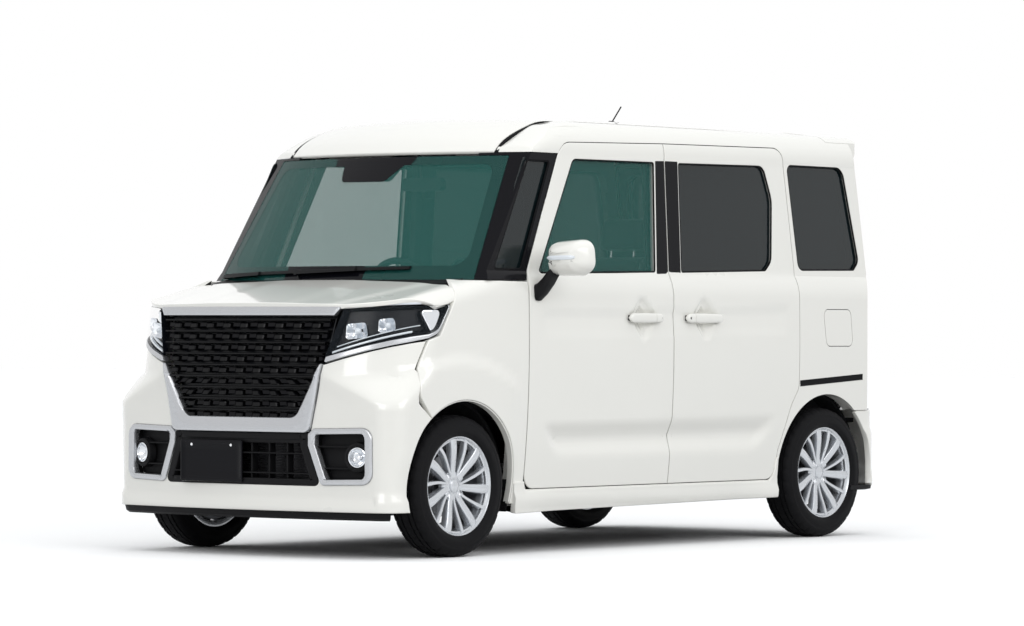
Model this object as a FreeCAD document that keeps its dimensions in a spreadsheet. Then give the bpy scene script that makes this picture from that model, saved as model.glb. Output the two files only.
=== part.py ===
import FreeCAD, Part
import math
import os
import Sketcher
from FreeCAD import Placement, Rotation, Vector

# A tall-wagon kei car, in millimetres.
# +X points forward, +Y to the car's left and +Z up.  The origin is on the ground,
# under the middle of the overall length and width.

doc = FreeCAD.newDocument("kei_car")

# ---------------------------------------------------------------- driving dimensions
# Heights are above the ground.  "_back" is a distance behind the front axle, and
# "_ahead" a distance in front of the rear axle.
DIMENSIONS = {
    "wheelbase": 2460, "front_overhang": 515, "rear_overhang": 420,
    "body_width": 1475, "roof_height": 1780, "belt_height": 1125,
    "front_track": 1295, "rear_track": 1300,
    "tyre_radius": 278.5, "tyre_width": 155, "bead_radius": 177.8, "rim_width": 128,
    "spoke_pairs": 7, "stud_circle": 100, "stud_count": 4,
    "arch_radius": 338, "steer_axis_offset": 55,
    "wall": 60, "skin": 24, "seal_gap": 4, "panel_gap": 5, "flange": 22,
    "glass": 5, "glass_depth": 12, "glass_lap": 12, "fit": 0.3,
    "sill_height": 255, "floor_height": 330, "deck_height": 510, "sheet": 20,
    "underside": 190, "front_door_back": 405, "door_split_back": 1357,
    "slide_door_ahead": 210, "door_top_drop": 115,
    "cowl_height": 1086, "screen_base": 25, "screen_rake": 0.676, "header_height": 1600,
    "bonnet_rear": 24, "bonnet_edge": 1069, "bonnet_thickness": 22,
    "bumper_top": 752, "trim_proud": 6, "press_depth": 12, "handle_proud": 24,
    "bar_pitch": 44, "tab_pitch": 46, "wiper_height": 20, "exhaust_radius": 20,
    "rear_bumper_top": 545, "rear_bumper_bottom": 215, "tailgate_half_width": 640, "gate_lean": 9.1,
    "roof_seam_ahead": -106, "seat_width": 500, "seat_height": 640,
    "steering_wheel_radius": 183, "steering_rake": 25, "mirror_reach": 218,
}
sheet = doc.addObject("Spreadsheet::Sheet", "dims")
for row, (alias, number) in enumerate(DIMENSIONS.items(), 1):
    sheet.set(f"A{row}", alias)
    sheet.set(f"B{row}", str(number))
    sheet.setAlias(f"B{row}", alias)
doc.recompute()


class Size:
    """A dimension that knows its number and the formula that gives it in the sheet."""

    def __init__(self, value, formula=None):
        self.value = float(value)
        self.formula = formula or repr(float(value))

    def __float__(self):
        return self.value

    def __add__(self, other):
        other = size(other)
        return Size(self.value + other.value, f"({self.formula} + {other.formula})")

    def __sub__(self, other):
        other = size(other)
        return Size(self.value - other.value, f"({self.formula} - {other.formula})")

    def __mul__(self, other):
        other = size(other)
        return Size(self.value * other.value, f"({self.formula} * {other.formula})")

    def __truediv__(self, other):
        other = size(other)
        return Size(self.value / other.value, f"({self.formula} / {other.formula})")

    def __neg__(self):
        return Size(-self.value, f"(-1 * {self.formula})")

    __radd__ = __add__
    __rmul__ = __mul__

    def __rsub__(self, other):
        return size(other) - self


def size(number):
    return number if isinstance(number, Size) else Size(number)


class Dimensions:
    """The sheet's cells, one attribute for each alias."""


dim = Dimensions()
for alias in DIMENSIONS:
    setattr(dim, alias, Size(sheet.get(alias), f"dims.{alias}"))

length = dim.front_overhang + dim.wheelbase + dim.rear_overhang
front_axle = length / 2 - dim.front_overhang
rear_axle = front_axle - dim.wheelbase
half_width = dim.body_width / 2
axle_height = dim.tyre_radius


def ahead(distance):
    """X of a place this far in front of the front axle, or behind it if negative."""
    return float(front_axle) + float(distance)


def from_rear(distance):
    """X of a place this far in front of the rear axle."""
    return float(rear_axle) + float(distance)


# ---------------------------------------------------------------- shape helpers
SUB_PARTS = []


def sub_part(label, shape=None, feature=None):
    """Registers a node: a plain Part::Feature with this shape, or a finished object."""
    if feature is None:
        feature = doc.addObject("Part::Feature", label)
        feature.Shape = shape
    feature.Label = label
    SUB_PARTS.append(feature)
    return feature


def lift(plane, a, b, offset):
    """A point (a, b) of the XZ, YZ or XY plane as a vector, off the plane by offset."""
    a, b, offset = float(a), float(b), float(offset)
    if plane == "XZ":
        return Vector(a, offset, b)
    if plane == "YZ":
        return Vector(offset, a, b)
    return Vector(a, b, offset)


def corner_arc(before, corner, after, radius):
    """Start, middle and end of the arc that rounds a corner."""
    to_before = (before - corner).normalize()
    to_after = (after - corner).normalize()
    half = to_before.getAngle(to_after) / 2
    reach = radius / math.tan(half)
    centre = corner + (to_before + to_after).normalize() * (radius / math.sin(half))
    middle = centre + (corner - centre).normalize() * radius
    return corner + to_before * reach, middle, corner + to_after * reach


def outline(plane, corners, offset=0):
    """Closed wire through corners (a, b, corner radius); radius may be left out."""
    points = [lift(plane, corner[0], corner[1], offset) for corner in corners]
    count = len(points)
    starts, ends, arcs = [], [], {}
    for i, corner in enumerate(corners):
        radius = float(corner[2]) if len(corner) > 2 else 0
        if radius:
            start, middle, end = corner_arc(points[i - 1], points[i], points[(i + 1) % count], radius)
            arcs[i] = Part.Arc(start, middle, end).toShape()
            starts.append(start)
            ends.append(end)
        else:
            starts.append(points[i])
            ends.append(points[i])
    chain = []
    for i in range(count):
        if i in arcs:
            chain.append(arcs[i])
        if (starts[(i + 1) % count] - ends[i]).Length > 1e-6:
            chain.append(Part.LineSegment(ends[i], starts[(i + 1) % count]).toShape())
    return Part.Wire(chain)


NORMAL = {"XZ": Vector(0, 1, 0), "YZ": Vector(1, 0, 0), "XY": Vector(0, 0, 1)}


def extruded(wire, plane, distance):
    """Solid drawn from a closed wire along its plane's normal."""
    return Part.Face(wire).extrude(NORMAL[plane] * float(distance))


def grown(corners, distance):
    """An outline's corners moved outward by a distance, or inward if it is negative."""
    points = [Vector(float(c[0]), float(c[1]), 0) for c in corners]
    count = len(points)
    area = sum(points[i - 1].x * points[i].y - points[i].x * points[i - 1].y for i in range(count))
    outward = math.copysign(1, area) * float(distance)
    moved = []
    for i, corner in enumerate(corners):
        before = (points[i] - points[i - 1]).normalize()
        after = (points[(i + 1) % count] - points[i]).normalize()
        normals = Vector(before.y, -before.x, 0) + Vector(after.y, -after.x, 0)
        shift = normals * (2 * outward / normals.Length ** 2)
        turn = (before.x * after.y - before.y * after.x) * area
        radius = float(corner[2]) if len(corner) > 2 else 0
        if radius:
            radius = max(radius + math.copysign(1, turn) * float(distance), 1.0)
        moved.append((points[i].x + shift.x, points[i].y + shift.y, radius))
    return moved


def prism(plane, corners, low, high):
    """Solid between two offsets of a plane, with a rounded polygon as its outline."""
    return extruded(outline(plane, corners, low), plane, high - low)


def block(x, y, z):
    """Box from three (low, high) pairs."""
    low = Vector(*(float(pair[0]) for pair in (x, y, z)))
    high = Vector(*(float(pair[1]) for pair in (x, y, z)))
    box = Part.makeBox(*(high - low))
    box.translate(low)
    return box


def cylinder(radius, start, end):
    """Solid rod between two points."""
    start, end = Vector(*map(float, start)), Vector(*map(float, end))
    return Part.makeCylinder(float(radius), (end - start).Length, start, end - start)


def pipe(points, radius):
    """Bent tube along straight runs, with a ball at each bend."""
    runs = [cylinder(radius, a, b) for a, b in zip(points, points[1:])]
    bends = [Part.makeSphere(float(radius), Vector(*map(float, bend))) for bend in points[1:-1]]
    return joined(runs + bends)


def strip(start, end, width):
    """Corners of a straight strip of a given width between two points of a plane."""
    run = Vector(end[0] - start[0], end[1] - start[1], 0).normalize() * (width / 2)
    return [(start[0] + run.y, start[1] - run.x), (end[0] + run.y, end[1] - run.x),
            (end[0] - run.y, end[1] + run.x), (start[0] - run.y, start[1] + run.x)]


def mirrored(shape):
    """The same shape on the other side of the car."""
    return shape.mirror(Vector(0, 0, 0), Vector(0, 1, 0))


def both(shape):
    """A left piece and its right twin as one compound."""
    return Part.Compound([shape, mirrored(shape)])


def joined(shapes):
    """Union of a list, with the seams between its members removed."""
    shapes = list(shapes)
    return shapes[0].multiFuse(shapes[1:]).removeSplitter() if len(shapes) > 1 else shapes[0]


def arc_wire(segments, offset_z):
    """Closed XY wire from tuples of 2 (line) or 3 (arc) points."""
    edges = []
    for segment in segments:
        points = [Vector(float(x), float(y), float(offset_z)) for x, y in segment]
        maker = Part.Arc if len(points) == 3 else Part.LineSegment
        edges.append(maker(*points).toShape())
    return Part.Wire(edges)


# ---------------------------------------------------------------- the outer form
# Each of these gives the space behind one outer surface, set in by a depth, so that a
# wall or a pane is the difference between two depths.
FAR = 4000.0


def section_form(depth):
    """Cross-section of the body, extruded along its length."""
    half = float(half_width) - depth
    roof = float(dim.roof_height)
    belt = float(dim.belt_height)
    # columns: drop in from the full half width, height
    sill, waist, shoulder = (34, 250), (0, belt - 225), (1.5, belt - 95)
    glass_foot, glass_head = (31, belt), (55, roof - 180)
    rail = (98 - 0.3 * depth, roof - 68 - 0.7 * depth)
    roof_edge = (180 - depth, roof - 40 - depth)

    def at(station):
        return Vector(0, half - station[0], station[1])

    def flip(point):
        return Vector(0, -point.y, point.z)

    bottom = Vector(0, half - 50, 120)
    low = (at(sill), at((6, (250 + belt - 225) / 2)), at(waist))
    shoulder_arc = (at(shoulder), at((14, belt - 32)), at(glass_foot))
    rail_arc = (at(glass_head), at(rail), at(roof_edge))
    edges = [Part.LineSegment(bottom, low[0]), Part.Arc(*low), Part.LineSegment(low[2], shoulder_arc[0]),
             Part.Arc(*shoulder_arc), Part.LineSegment(shoulder_arc[2], rail_arc[0]), Part.Arc(*rail_arc),
             Part.Arc(rail_arc[2], Vector(0, 0, roof - depth), flip(rail_arc[2])),
             Part.Arc(*map(flip, reversed(rail_arc))),
             Part.LineSegment(flip(rail_arc[0]), flip(shoulder_arc[2])),
             Part.Arc(*map(flip, reversed(shoulder_arc))),
             Part.LineSegment(flip(shoulder_arc[0]), flip(low[2])), Part.Arc(*map(flip, reversed(low))),
             Part.LineSegment(flip(low[0]), flip(bottom)), Part.LineSegment(flip(bottom), bottom)]
    face = Part.Face(Part.Wire([edge.toShape() for edge in edges]))
    face.translate(Vector(-FAR / 2, 0, 0))
    return face.extrude(Vector(FAR, 0, 0))


def screen_form(depth):
    """Space behind the windscreen: a plan arc swept up along the rake."""
    base = ahead(dim.screen_base) - depth * 1.2
    side = 800.0
    sag = 3.43e-4 * side * side
    low, high = 0.0, 2000.0
    rake = float(dim.screen_rake)
    foot = base + rake * (float(dim.cowl_height) - low)
    wire = arc_wire([((foot - sag, -side), (foot, 0), (foot - sag, side)),
                     ((foot - sag, side), (-FAR, side)), ((-FAR, side), (-FAR, -side)),
                     ((-FAR, -side), (foot - sag, -side))], low)
    return Part.Face(wire).extrude(Vector(-rake * (high - low), 0, high - low))


def brow_form(depth):
    """Space under the roof's steep leading edge, above the windscreen."""
    side = 800.0
    sag = 2.6e-4 * side * side
    nose = ahead(dim.screen_base) - float(dim.screen_rake) * float(dim.header_height - dim.cowl_height)
    low, high, slope = 0.0, 2000.0, 2.0
    foot = nose + slope * (float(dim.header_height) - low) + 8 - depth * 2.2
    wire = arc_wire([((foot - sag, -side), (foot, 0), (foot - sag, side)),
                     ((foot - sag, side), (-FAR, side)), ((-FAR, side), (-FAR, -side)),
                     ((-FAR, -side), (foot - sag, -side))], low)
    return Part.Face(wire).extrude(Vector(-slope * (high - low), 0, high - low))


def roof_form(depth):
    """Space under the roof's profile along the centreline."""
    roof = float(dim.roof_height) - depth
    corners = [(ahead(500), 0), (ahead(500), roof - 60), (ahead(-560), roof - 46, 500),
               (ahead(-1050), roof - 17, 3000), (ahead(-1750), roof, 9000), (from_rear(40), roof - 12, 3000),
               (from_rear(-330), roof - 38, 400), (from_rear(-400), roof - 55), (from_rear(-400), 0)]
    return prism("XZ", corners, -FAR / 4, FAR / 4)


def tail_plan(depth, height):
    """Plan wire of the rear face: nearly flat, with a two-stage corner on each side."""
    reach = float(length) / 2 - 38 - depth
    half = float(half_width) + 30
    return arc_wire([((FAR, half), (-reach + 190, half)),
                     ((-reach + 190, half), (-reach + 62, half - 52), (-reach + 18, half - 160)),
                     ((-reach + 18, half - 160), (-reach, 0), (-reach + 18, 160 - half)),
                     ((-reach + 18, 160 - half), (-reach + 62, 52 - half), (-reach + 190, -half)),
                     ((-reach + 190, -half), (FAR, -half)), ((FAR, -half), (FAR, half))], height)


def gate_form(depth):
    """Space ahead of the tailgate's window, which leans in from the belt upwards."""
    upright = Part.Face(tail_plan(depth, -500)).extrude(Vector(0, 0, 3500))
    pivot = Vector(38 - float(length) / 2, 0, float(dim.belt_height + 25))
    upright.rotate(pivot, Vector(0, 1, 0), float(dim.gate_lean))
    return upright


def tail_form(depth):
    """Space ahead of the rear face, upright below the belt and leaning in above it."""
    return Part.Face(tail_plan(depth, 0)).extrude(Vector(0, 0, 2000)).common(gate_form(depth))


def clip_plan(depth, height, face, corner, turn, edge):
    """Plan wire of the front end: a bowed face, one arc round each corner, straight sides.

    face is the centre's reach; corner, turn and edge are (reach, half width) of the
    corner arc's start, middle and end.
    """
    def at(point, side):
        return (ahead(point[0] - depth), side * (point[1] - depth))

    back = (-FAR / 8, edge[1] - depth)
    return arc_wire([(at(corner, -1), (ahead(face - depth), 0), at(corner, 1)),
                     (at(corner, 1), at(turn, 1), at(edge, 1)), (at(edge, 1), back),
                     (back, (back[0], -back[1])), ((back[0], -back[1]), at(edge, -1)),
                     (at(edge, -1), at(turn, -1), at(corner, -1))], height)


def clip_form(depth):
    """Space behind the front end: the bumper's square corners, then the lamps' round ones."""
    half = float(half_width)
    face = float(dim.front_overhang - dim.trim_proud)
    low, high = 0.0, 1300.0
    shoulder_low, shoulder_high = float(dim.bumper_top) - 150, float(dim.bumper_top) - 40
    square = dict(face=face, corner=(450, 650), turn=(422, 706), edge=(350, half))
    rounded = dict(face=face + 2, corner=(492, 421), turn=(393, 617), edge=(208, half - 2))
    foot = Part.Face(clip_plan(depth, low, **square)).extrude(Vector(0, 0, shoulder_low - low))
    shoulder = Part.makeLoft([clip_plan(depth, shoulder_low, **square),
                              clip_plan(depth, shoulder_high, **rounded)], True, True)
    head = Part.Face(clip_plan(depth, shoulder_high, **rounded))
    rise = high - shoulder_high
    return joined([foot, shoulder, head.extrude(Vector(-0.15 * rise, 0, rise))])


def bonnet_form(depth):
    """Space under the bonnet: a crowned section drawn along its slope."""
    edge = float(dim.bonnet_edge) + 6
    half = float(half_width) - 2 - 0.6 * depth
    slope = 0.215
    start = ahead(-450)
    lift_up = slope * (450 + float(dim.bonnet_rear))

    def at(left, height):
        return Vector(start, left, height - depth + lift_up)

    crown, shoulder, lip = at(0, edge + 14), at(half - 95, edge - 2), at(half, edge - 62)
    turn = at(half - 28, edge - 22)

    def flip(point):
        return Vector(point.x, -point.y, point.z)

    foot = Vector(start, half, 100)
    edges = [Part.Arc(shoulder, crown, flip(shoulder)), Part.Arc(flip(shoulder), flip(turn), flip(lip)),
             Part.LineSegment(flip(lip), flip(foot)), Part.LineSegment(flip(foot), foot),
             Part.LineSegment(foot, lip), Part.Arc(lip, turn, shoulder)]
    face = Part.Face(Part.Wire([edge.toShape() for edge in edges]))
    return face.extrude(Vector(1100, 0, -slope * 1100))


def rear_bumper_form(depth):
    """Space ahead of the rear bumper's cover, carried up to the spoiler."""
    side = float(half_width) - depth
    reach = float(length) / 2 - depth
    wire = arc_wire([((-reach + 12, 630), (-reach, 0), (-reach + 12, -630)),
                     ((-reach + 12, -630), (-reach + 40, 31 - side), (-reach + 118, -side)),
                     ((-reach + 118, -side), (FAR / 8, -side)), ((FAR / 8, -side), (FAR / 8, side)),
                     ((FAR / 8, side), (-reach + 118, side)),
                     ((-reach + 118, side), (-reach + 40, side - 31), (-reach + 12, 630))], 0)
    return Part.Face(wire).extrude(Vector(0, 0, 2000))


def cabin_form(depth):
    """The whole passenger cell, set in by a depth."""
    cell = section_form(depth).common(roof_form(depth)).common(tail_form(depth))
    return cell.common(screen_form(depth)).common(brow_form(depth))


def layer(form, outer, inner):
    """Wall between two depths of a form."""
    return form(outer).cut(form(inner))


def arch(axle, radius, y_low, y_high):
    """The room a wheel needs: a cylinder about its axle on the left side."""
    return cylinder(radius, (axle, y_low, axle_height), (axle, y_high, axle_height))


wall, skin = float(dim.wall), float(dim.skin)
seal = skin + float(dim.seal_gap)
gap, fit = float(dim.panel_gap), float(dim.fit)
cell_outer, cell_skin = cabin_form(0), cabin_form(skin)
cell_seal, cell_inner = cabin_form(seal), cabin_form(wall)
outer_layer = cell_outer.cut(cell_skin)
inner_layer = cell_skin.cut(cell_inner)
flange_layer = cell_seal.cut(cell_inner)
shell = cell_outer.cut(cell_inner)
print("forms ready")

# ---------------------------------------------------------------- body panels
SIDE_LOW, SIDE_HIGH = 380.0, 900.0
door_top = float(dim.roof_height - dim.door_top_drop)
split = ahead(-dim.door_split_back)
door_front = ahead(-dim.front_door_back)
sill = float(dim.sill_height)
belt = float(dim.belt_height)
cowl = float(dim.cowl_height)
header = float(dim.header_height)
roof_seam = from_rear(dim.roof_seam_ahead)
tail = -float(length) / 2
gate_half = float(dim.tailgate_half_width)
ditch = 545.0

# Side outlines: columns are x, z and corner radius.
FRONT_DOOR = [(door_front, sill), (door_front, cowl, 300), (door_front - 268, door_top - 15, 90),
              (split, door_top), (split, sill)]
SLIDE_DOOR = [(split, sill), (split, door_top), (from_rear(270), door_top + 8, 60), (from_rear(248), 1493, 300),
              (from_rear(209), 1151, 400), (from_rear(dim.slide_door_ahead), 645, 60),
              (from_rear(261), 572, 60), (from_rear(342), 381, 60), (from_rear(358), sill, 20)]
FRONT_WINDOW = [(ahead(-495), belt - 8, 12), (ahead(-747), header - 17, 35), (ahead(-1288), header - 15, 12),
                (ahead(-1271), belt + 4, 12)]
SLIDE_WINDOW = [(ahead(-1446), belt + 5, 12), (ahead(-1452), header - 14, 12), (from_rear(406), header - 8, 50),
                (from_rear(351), 1448, 150), (from_rear(371), 1183, 60), (from_rear(417), belt + 18, 20)]
QUARTER_WINDOW = [(from_rear(180), belt + 22, 40), (from_rear(240), header + 2, 30),
                  (from_rear(-179), header + 1, 60), (from_rear(-277), 1191, 40), (from_rear(-236), belt + 27, 20)]
PILLAR_WINDOW = [(ahead(-214), belt + 5, 15), (ahead(-455), header - 28, 15), (ahead(-600), header - 28, 12),
                 (ahead(-390), belt + 5, 25)]
FUEL_LID = [(from_rear(37), 984, 30), (from_rear(-169), 984, 30), (from_rear(-186), 822, 30),
            (from_rear(14), 822, 30)]
SCOOP = [(ahead(-472), 524), (ahead(-619), 372, 60), (ahead(-1959), 372, 60), (ahead(-2119), 530)]
WAIST_BAND = [(ahead(-501), 970, 4), (ahead(-501), 878, 4), (ahead(-2188), 889, 4), (ahead(-2188), 995, 4)]
RAIL_SLOT = [(from_rear(206), 662), (from_rear(206), 676), (from_rear(-262), 702), (from_rear(-262), 688)]


def side_prism(corners, grow=0.0, low=SIDE_LOW, high=SIDE_HIGH):
    """Left-hand prism through an XZ outline, grown or shrunk by a distance."""
    return prism("XZ", grown(corners, grow), low, high)


def aperture_core(corners, extra=0.0):
    """The smaller opening inside a door's flange, kept clear of the centre pillar."""
    pillar = block((split - 45 - extra, split + 45 + extra), (SIDE_LOW, SIDE_HIGH), (0, 2000))
    return side_prism(corners, -float(dim.flange) - extra).cut(pillar)


def pane(form_layer, corners, grow):
    """A pane's stretch of a thin layer, lapping its window by a distance."""
    return form_layer.common(side_prism(corners, grow))


def side_glass_layer(slack):
    """Thin layer behind the side surface where panes lie, widened by a slack each way."""
    start = float(dim.glass_depth) - slack
    end = float(dim.glass_depth + dim.glass) + slack
    return layer(section_form, start, end).common(block((-FAR, FAR), (0, FAR), (belt - 60, header + 60)))


glass_layer = side_glass_layer(0)
glass_slot = side_glass_layer(fit)
lap = float(dim.glass_lap)


def door_panel(corners, window):
    """Door shell with a stepped edge, its window hole and the slot that holds the pane."""
    face = outer_layer.common(side_prism(corners, -gap))
    core = inner_layer.common(aperture_core(corners, gap + 3))
    panel = joined([face, core])
    panel = panel.cut(side_prism(window))
    return panel.cut(pane(glass_slot, window, lap + fit))


def pressings():
    """Room taken out of the doors by the waist band and by the scoop above the sill."""
    half, depth = float(half_width), float(dim.press_depth)
    # columns: y and z of a section drawn along the car
    band = [(half + 30, 975), (half - 0.5, 970), (half - 3, 925), (half - 0.5, 882), (half + 30, 878)]
    scoop = [(half + 30, 530), (half - 7, 524), (half - 15 - depth, 430), (half - 19, 372), (half + 30, 366)]
    return [prism("YZ", section, -FAR / 2, FAR / 2).common(side_prism(edge, low=640))
            for section, edge in ((band, WAIST_BAND), (scoop, SCOOP))]


def dressed(panel, front, rear):
    """A door with its pressings, and a pull handle across its dished recess."""
    for pressing in pressings():
        panel = panel.cut(pressing)
    height, middle, proud = 952, (front + rear) / 2, float(dim.handle_proud)
    dish = [(middle + 62, height, 20), (middle + 16, height + 72, 30), (middle - 70, height, 20),
            (middle - 10, height - 84, 30)]
    bar = [(front, height - 20, 18), (front, height + 20, 18), (rear, height + 16, 14), (rear, height - 16, 14)]
    ends = [block((x - 18, x + 18), (SIDE_LOW, SIDE_HIGH), (height - 15, height + 15))
            for x in (front - 24, rear + 24)]
    panel = panel.cut(layer(section_form, -5, float(dim.press_depth)).common(side_prism(dish, low=640)))
    grip = layer(section_form, -proud, 12 - proud).common(side_prism(bar, low=640))
    feet = layer(section_form, 6 - proud, 6).common(Part.Compound(ends))
    return joined([panel, grip, feet])


front_door = dressed(door_panel(FRONT_DOOR, FRONT_WINDOW), ahead(-1045), ahead(-1262))
front_pane = pane(glass_layer, FRONT_WINDOW, lap)
slide_door = dressed(door_panel(SLIDE_DOOR, SLIDE_WINDOW), ahead(-1432), ahead(-1676))
slide_pane = pane(glass_layer, SLIDE_WINDOW, lap)
quarter_pane = pane(glass_layer, QUARTER_WINDOW, lap)
pillar_pane = pane(glass_layer, PILLAR_WINDOW, lap)
front_arch = arch(front_axle, dim.arch_radius, 400, 900)
rear_arch = arch(rear_axle, dim.arch_radius, 560, 900)

# body side: rail over the doors, centre pillar, rocker and quarter panel in one pressing
SIDE_FACE = [(tail - 50, 190), (tail - 50, 2000), (ahead(0), 2000), (ahead(0), header + 3),
             (door_front - 268, header + 3), (door_front, cowl), (door_front, 190)]
SIDE_FLANGE = [(tail - 50, 190), (tail - 50, 2000), (ahead(0), 2000), (ahead(0), header + 3),
               (door_front - 268, header + 3), (door_front, cowl), (ahead(-345), cowl - 4), (ahead(-345), 190)]
tail_zone = block((tail - 100, from_rear(-200)), (0, gate_half + gap), (0, 2000))
roof_zone = block((roof_seam - gap, FAR), (0, ditch + 1), (header - 100, 2000))
spoiler_zone = block((tail - 100, roof_seam), (0, gate_half + gap), (header + 45, 2000))
lamp_zone = block((tail - 100, from_rear(-290)), (560, 712), (558, 892))
bumper_zone = block((tail - 100, from_rear(-100)), (0, 900), (0, dim.rear_bumper_top + fit))
face_part = cell_outer.cut(cell_seal).common(side_prism(SIDE_FACE, low=500))
face_part = face_part.cut(side_prism(FRONT_DOOR)).cut(side_prism(SLIDE_DOOR))
flange_part = flange_layer.common(side_prism(SIDE_FLANGE, low=500))
flange_part = flange_part.cut(aperture_core(FRONT_DOOR)).cut(aperture_core(SLIDE_DOOR))
seal_bead = cabin_form(skin + fit).cut(cabin_form(seal + 1)).common(side_prism(FRONT_DOOR, -8, low=500))
body_side = joined([face_part, flange_part, seal_bead.cut(side_prism(FRONT_DOOR, -18, low=500))])
for zone in (tail_zone, roof_zone, spoiler_zone, lamp_zone, bumper_zone, rear_arch, front_arch,
             side_prism(QUARTER_WINDOW), pane(glass_slot, QUARTER_WINDOW, lap + fit)):
    body_side = body_side.cut(zone)
rail_pocket = layer(section_form, -5, 26).common(side_prism(RAIL_SLOT))
body_side = body_side.cut(rail_pocket)
fuel_pocket = layer(section_form, -5, 45).common(side_prism(FUEL_LID))
body_side_left = body_side.cut(fuel_pocket)
fuel_lid = layer(section_form, 0, 10).common(side_prism(FUEL_LID, -3))

# the dark pillars beside the windscreen, each round its small fixed window
door_lean = 268 / (door_top - 15 - cowl)
pillar_head = door_front + gap - door_lean * (header - cowl)
PILLAR = [(door_front + gap, cowl + 2), (pillar_head, header), (ahead(80), header), (ahead(80), cowl + 2)]
SCREEN = [(-674, cowl + 2), (-603, header - 12), (603, header - 12), (674, cowl + 2)]


def screen_prism(grow):
    """Prism through the windscreen's outline as seen from ahead."""
    return prism("YZ", grown(SCREEN, grow), 0, length)


screen_glass = layer(screen_form, 0, float(dim.glass)).common(screen_prism(0)).common(cell_outer)
screen_hole = screen_prism(-25).fuse(cell_outer.cut(screen_form(float(dim.glass) + fit)).common(screen_prism(2)))
pillars = shell.common(side_prism(PILLAR, low=480)).cut(screen_hole).cut(side_prism(PILLAR_WINDOW))
pillars = pillars.cut(pane(glass_slot, PILLAR_WINDOW, lap + fit))

# roof
screen_rebate = layer(screen_form, 0, 30).common(block((ahead(-700), ahead(200)), (-900, 900), (0, header + 3)))
roof_panel = shell.common(block((roof_seam + gap, FAR), (-ditch, ditch), (header - 60, 2000)))
pillar_zone = side_prism(PILLAR, fit, low=480 - fit)
for zone in (screen_hole, screen_rebate, pillar_zone, mirrored(pillar_zone)):
    roof_panel = roof_panel.cut(zone)

gate_rest = block((roof_seam - gap + fit, roof_seam + gap + 6), (380, 440), (header + 70, header + 108))
roof_panel = joined([roof_panel, gate_rest, mirrored(gate_rest)])

# front end
FENDER = [(door_front + gap, 190), (door_front + gap, cowl - 2), (ahead(-20), cowl + 3), (ahead(22), 1066),
          (ahead(64), 996), (ahead(146), 868), (ahead(207.5), 850), (ahead(261.5), 737), (ahead(280.5), 634, 30),
          (ahead(203.5), 560), (ahead(203.5), 190)]
BONNET = [(ahead(24), 1500), (ahead(24), 1069), (ahead(68), 1002), (ahead(412), 985), (ahead(600), 987),
          (ahead(600), 1500)]
WING = [(ahead(208), 851), (ahead(262), 737), (ahead(281), 634, 30), (ahead(204), 560), (ahead(204), 150),
        (ahead(700), 150), (ahead(700), 851)]
LAMP = [(ahead(69), 998), (ahead(150), 872), (ahead(215), 857), (ahead(215), 700), (ahead(600), 700),
        (ahead(600), 981), (ahead(412), 981)]
LAMP_FRONT = [(424, 757), (492, 1010), (900, 1030), (900, 903)]
GRILLE_ZONE = [(421, 752), (488, 980), (-488, 980), (-421, 752), (-361, 490, 30), (361, 490, 30)]
GRILLE_HOLE = [(417, 760), (436, 940), (-436, 940), (-417, 760), (-292, 545, 45), (292, 545, 45)]
FOG = [(378, 505, 12), (353, 484, 8), (350, 440), (411, 281, 20), (650, 289, 45), (648, 513, 45)]
INTAKE = [(-330, 478, 15), (330, 478, 15), (330, 440), (385, 283, 20), (-385, 283, 20), (-330, 440)]


def front_prism(corners, grow=0.0):
    """Prism through a YZ outline across the whole front end."""
    return prism("YZ", grown(corners, grow), ahead(60), ahead(660))


clip_outer, clip_skin = clip_form(0), clip_form(skin)
clip_layer = clip_outer.cut(clip_skin)
front_body = section_form(0).common(clip_outer).common(bonnet_form(0))
front_core = section_form(skin).common(clip_skin).common(bonnet_form(skin))
fender = front_body.cut(front_core).common(side_prism(FENDER, low=640))
fender = fender.cut(front_arch)
bonnet_slab = front_body.cut(bonnet_form(float(dim.bonnet_thickness)))
bonnet = bonnet_slab.common(prism("XZ", BONNET, -900, 900))
bumper = clip_layer.common(prism("XZ", WING, -900, 900)).common(block((0, FAR), (-900, 900), (160, 900)))
for zone in (front_prism(GRILLE_ZONE), front_prism(LAMP_FRONT, 4), mirrored(front_prism(LAMP_FRONT, 4)),
             front_prism(FOG), mirrored(front_prism(FOG)), front_prism(INTAKE), front_arch, mirrored(front_arch)):
    bumper = bumper.cut(zone)
surround = clip_form(-float(dim.trim_proud)).cut(clip_form(16)).common(front_prism(GRILLE_ZONE, -1))
surround = surround.cut(front_prism(GRILLE_HOLE))
surround = surround.cut(bonnet_slab).cut(front_prism(LAMP_FRONT, 1)).cut(mirrored(front_prism(LAMP_FRONT, 1)))
grille_back = layer(clip_form, 40, 48).common(front_prism(GRILLE_HOLE, -0.5))


def grille_blocks(low, width, height, shift):
    """Every second block of each row between the grille's bars, as plain bars along the car."""
    pitch, row = float(dim.tab_pitch), float(dim.bar_pitch)
    blocks = []
    for level in range(-1, 8):
        z = low + row * level
        for place_in_row in range(-10, 11, 2):
            y = (place_in_row + shift) * pitch * (0.90 + 0.1 * (level + 1) / 8)
            blocks.append(block((0, FAR), (y - width / 2, y + width / 2), (z, z + height)))
    return Part.Compound(blocks)


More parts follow.
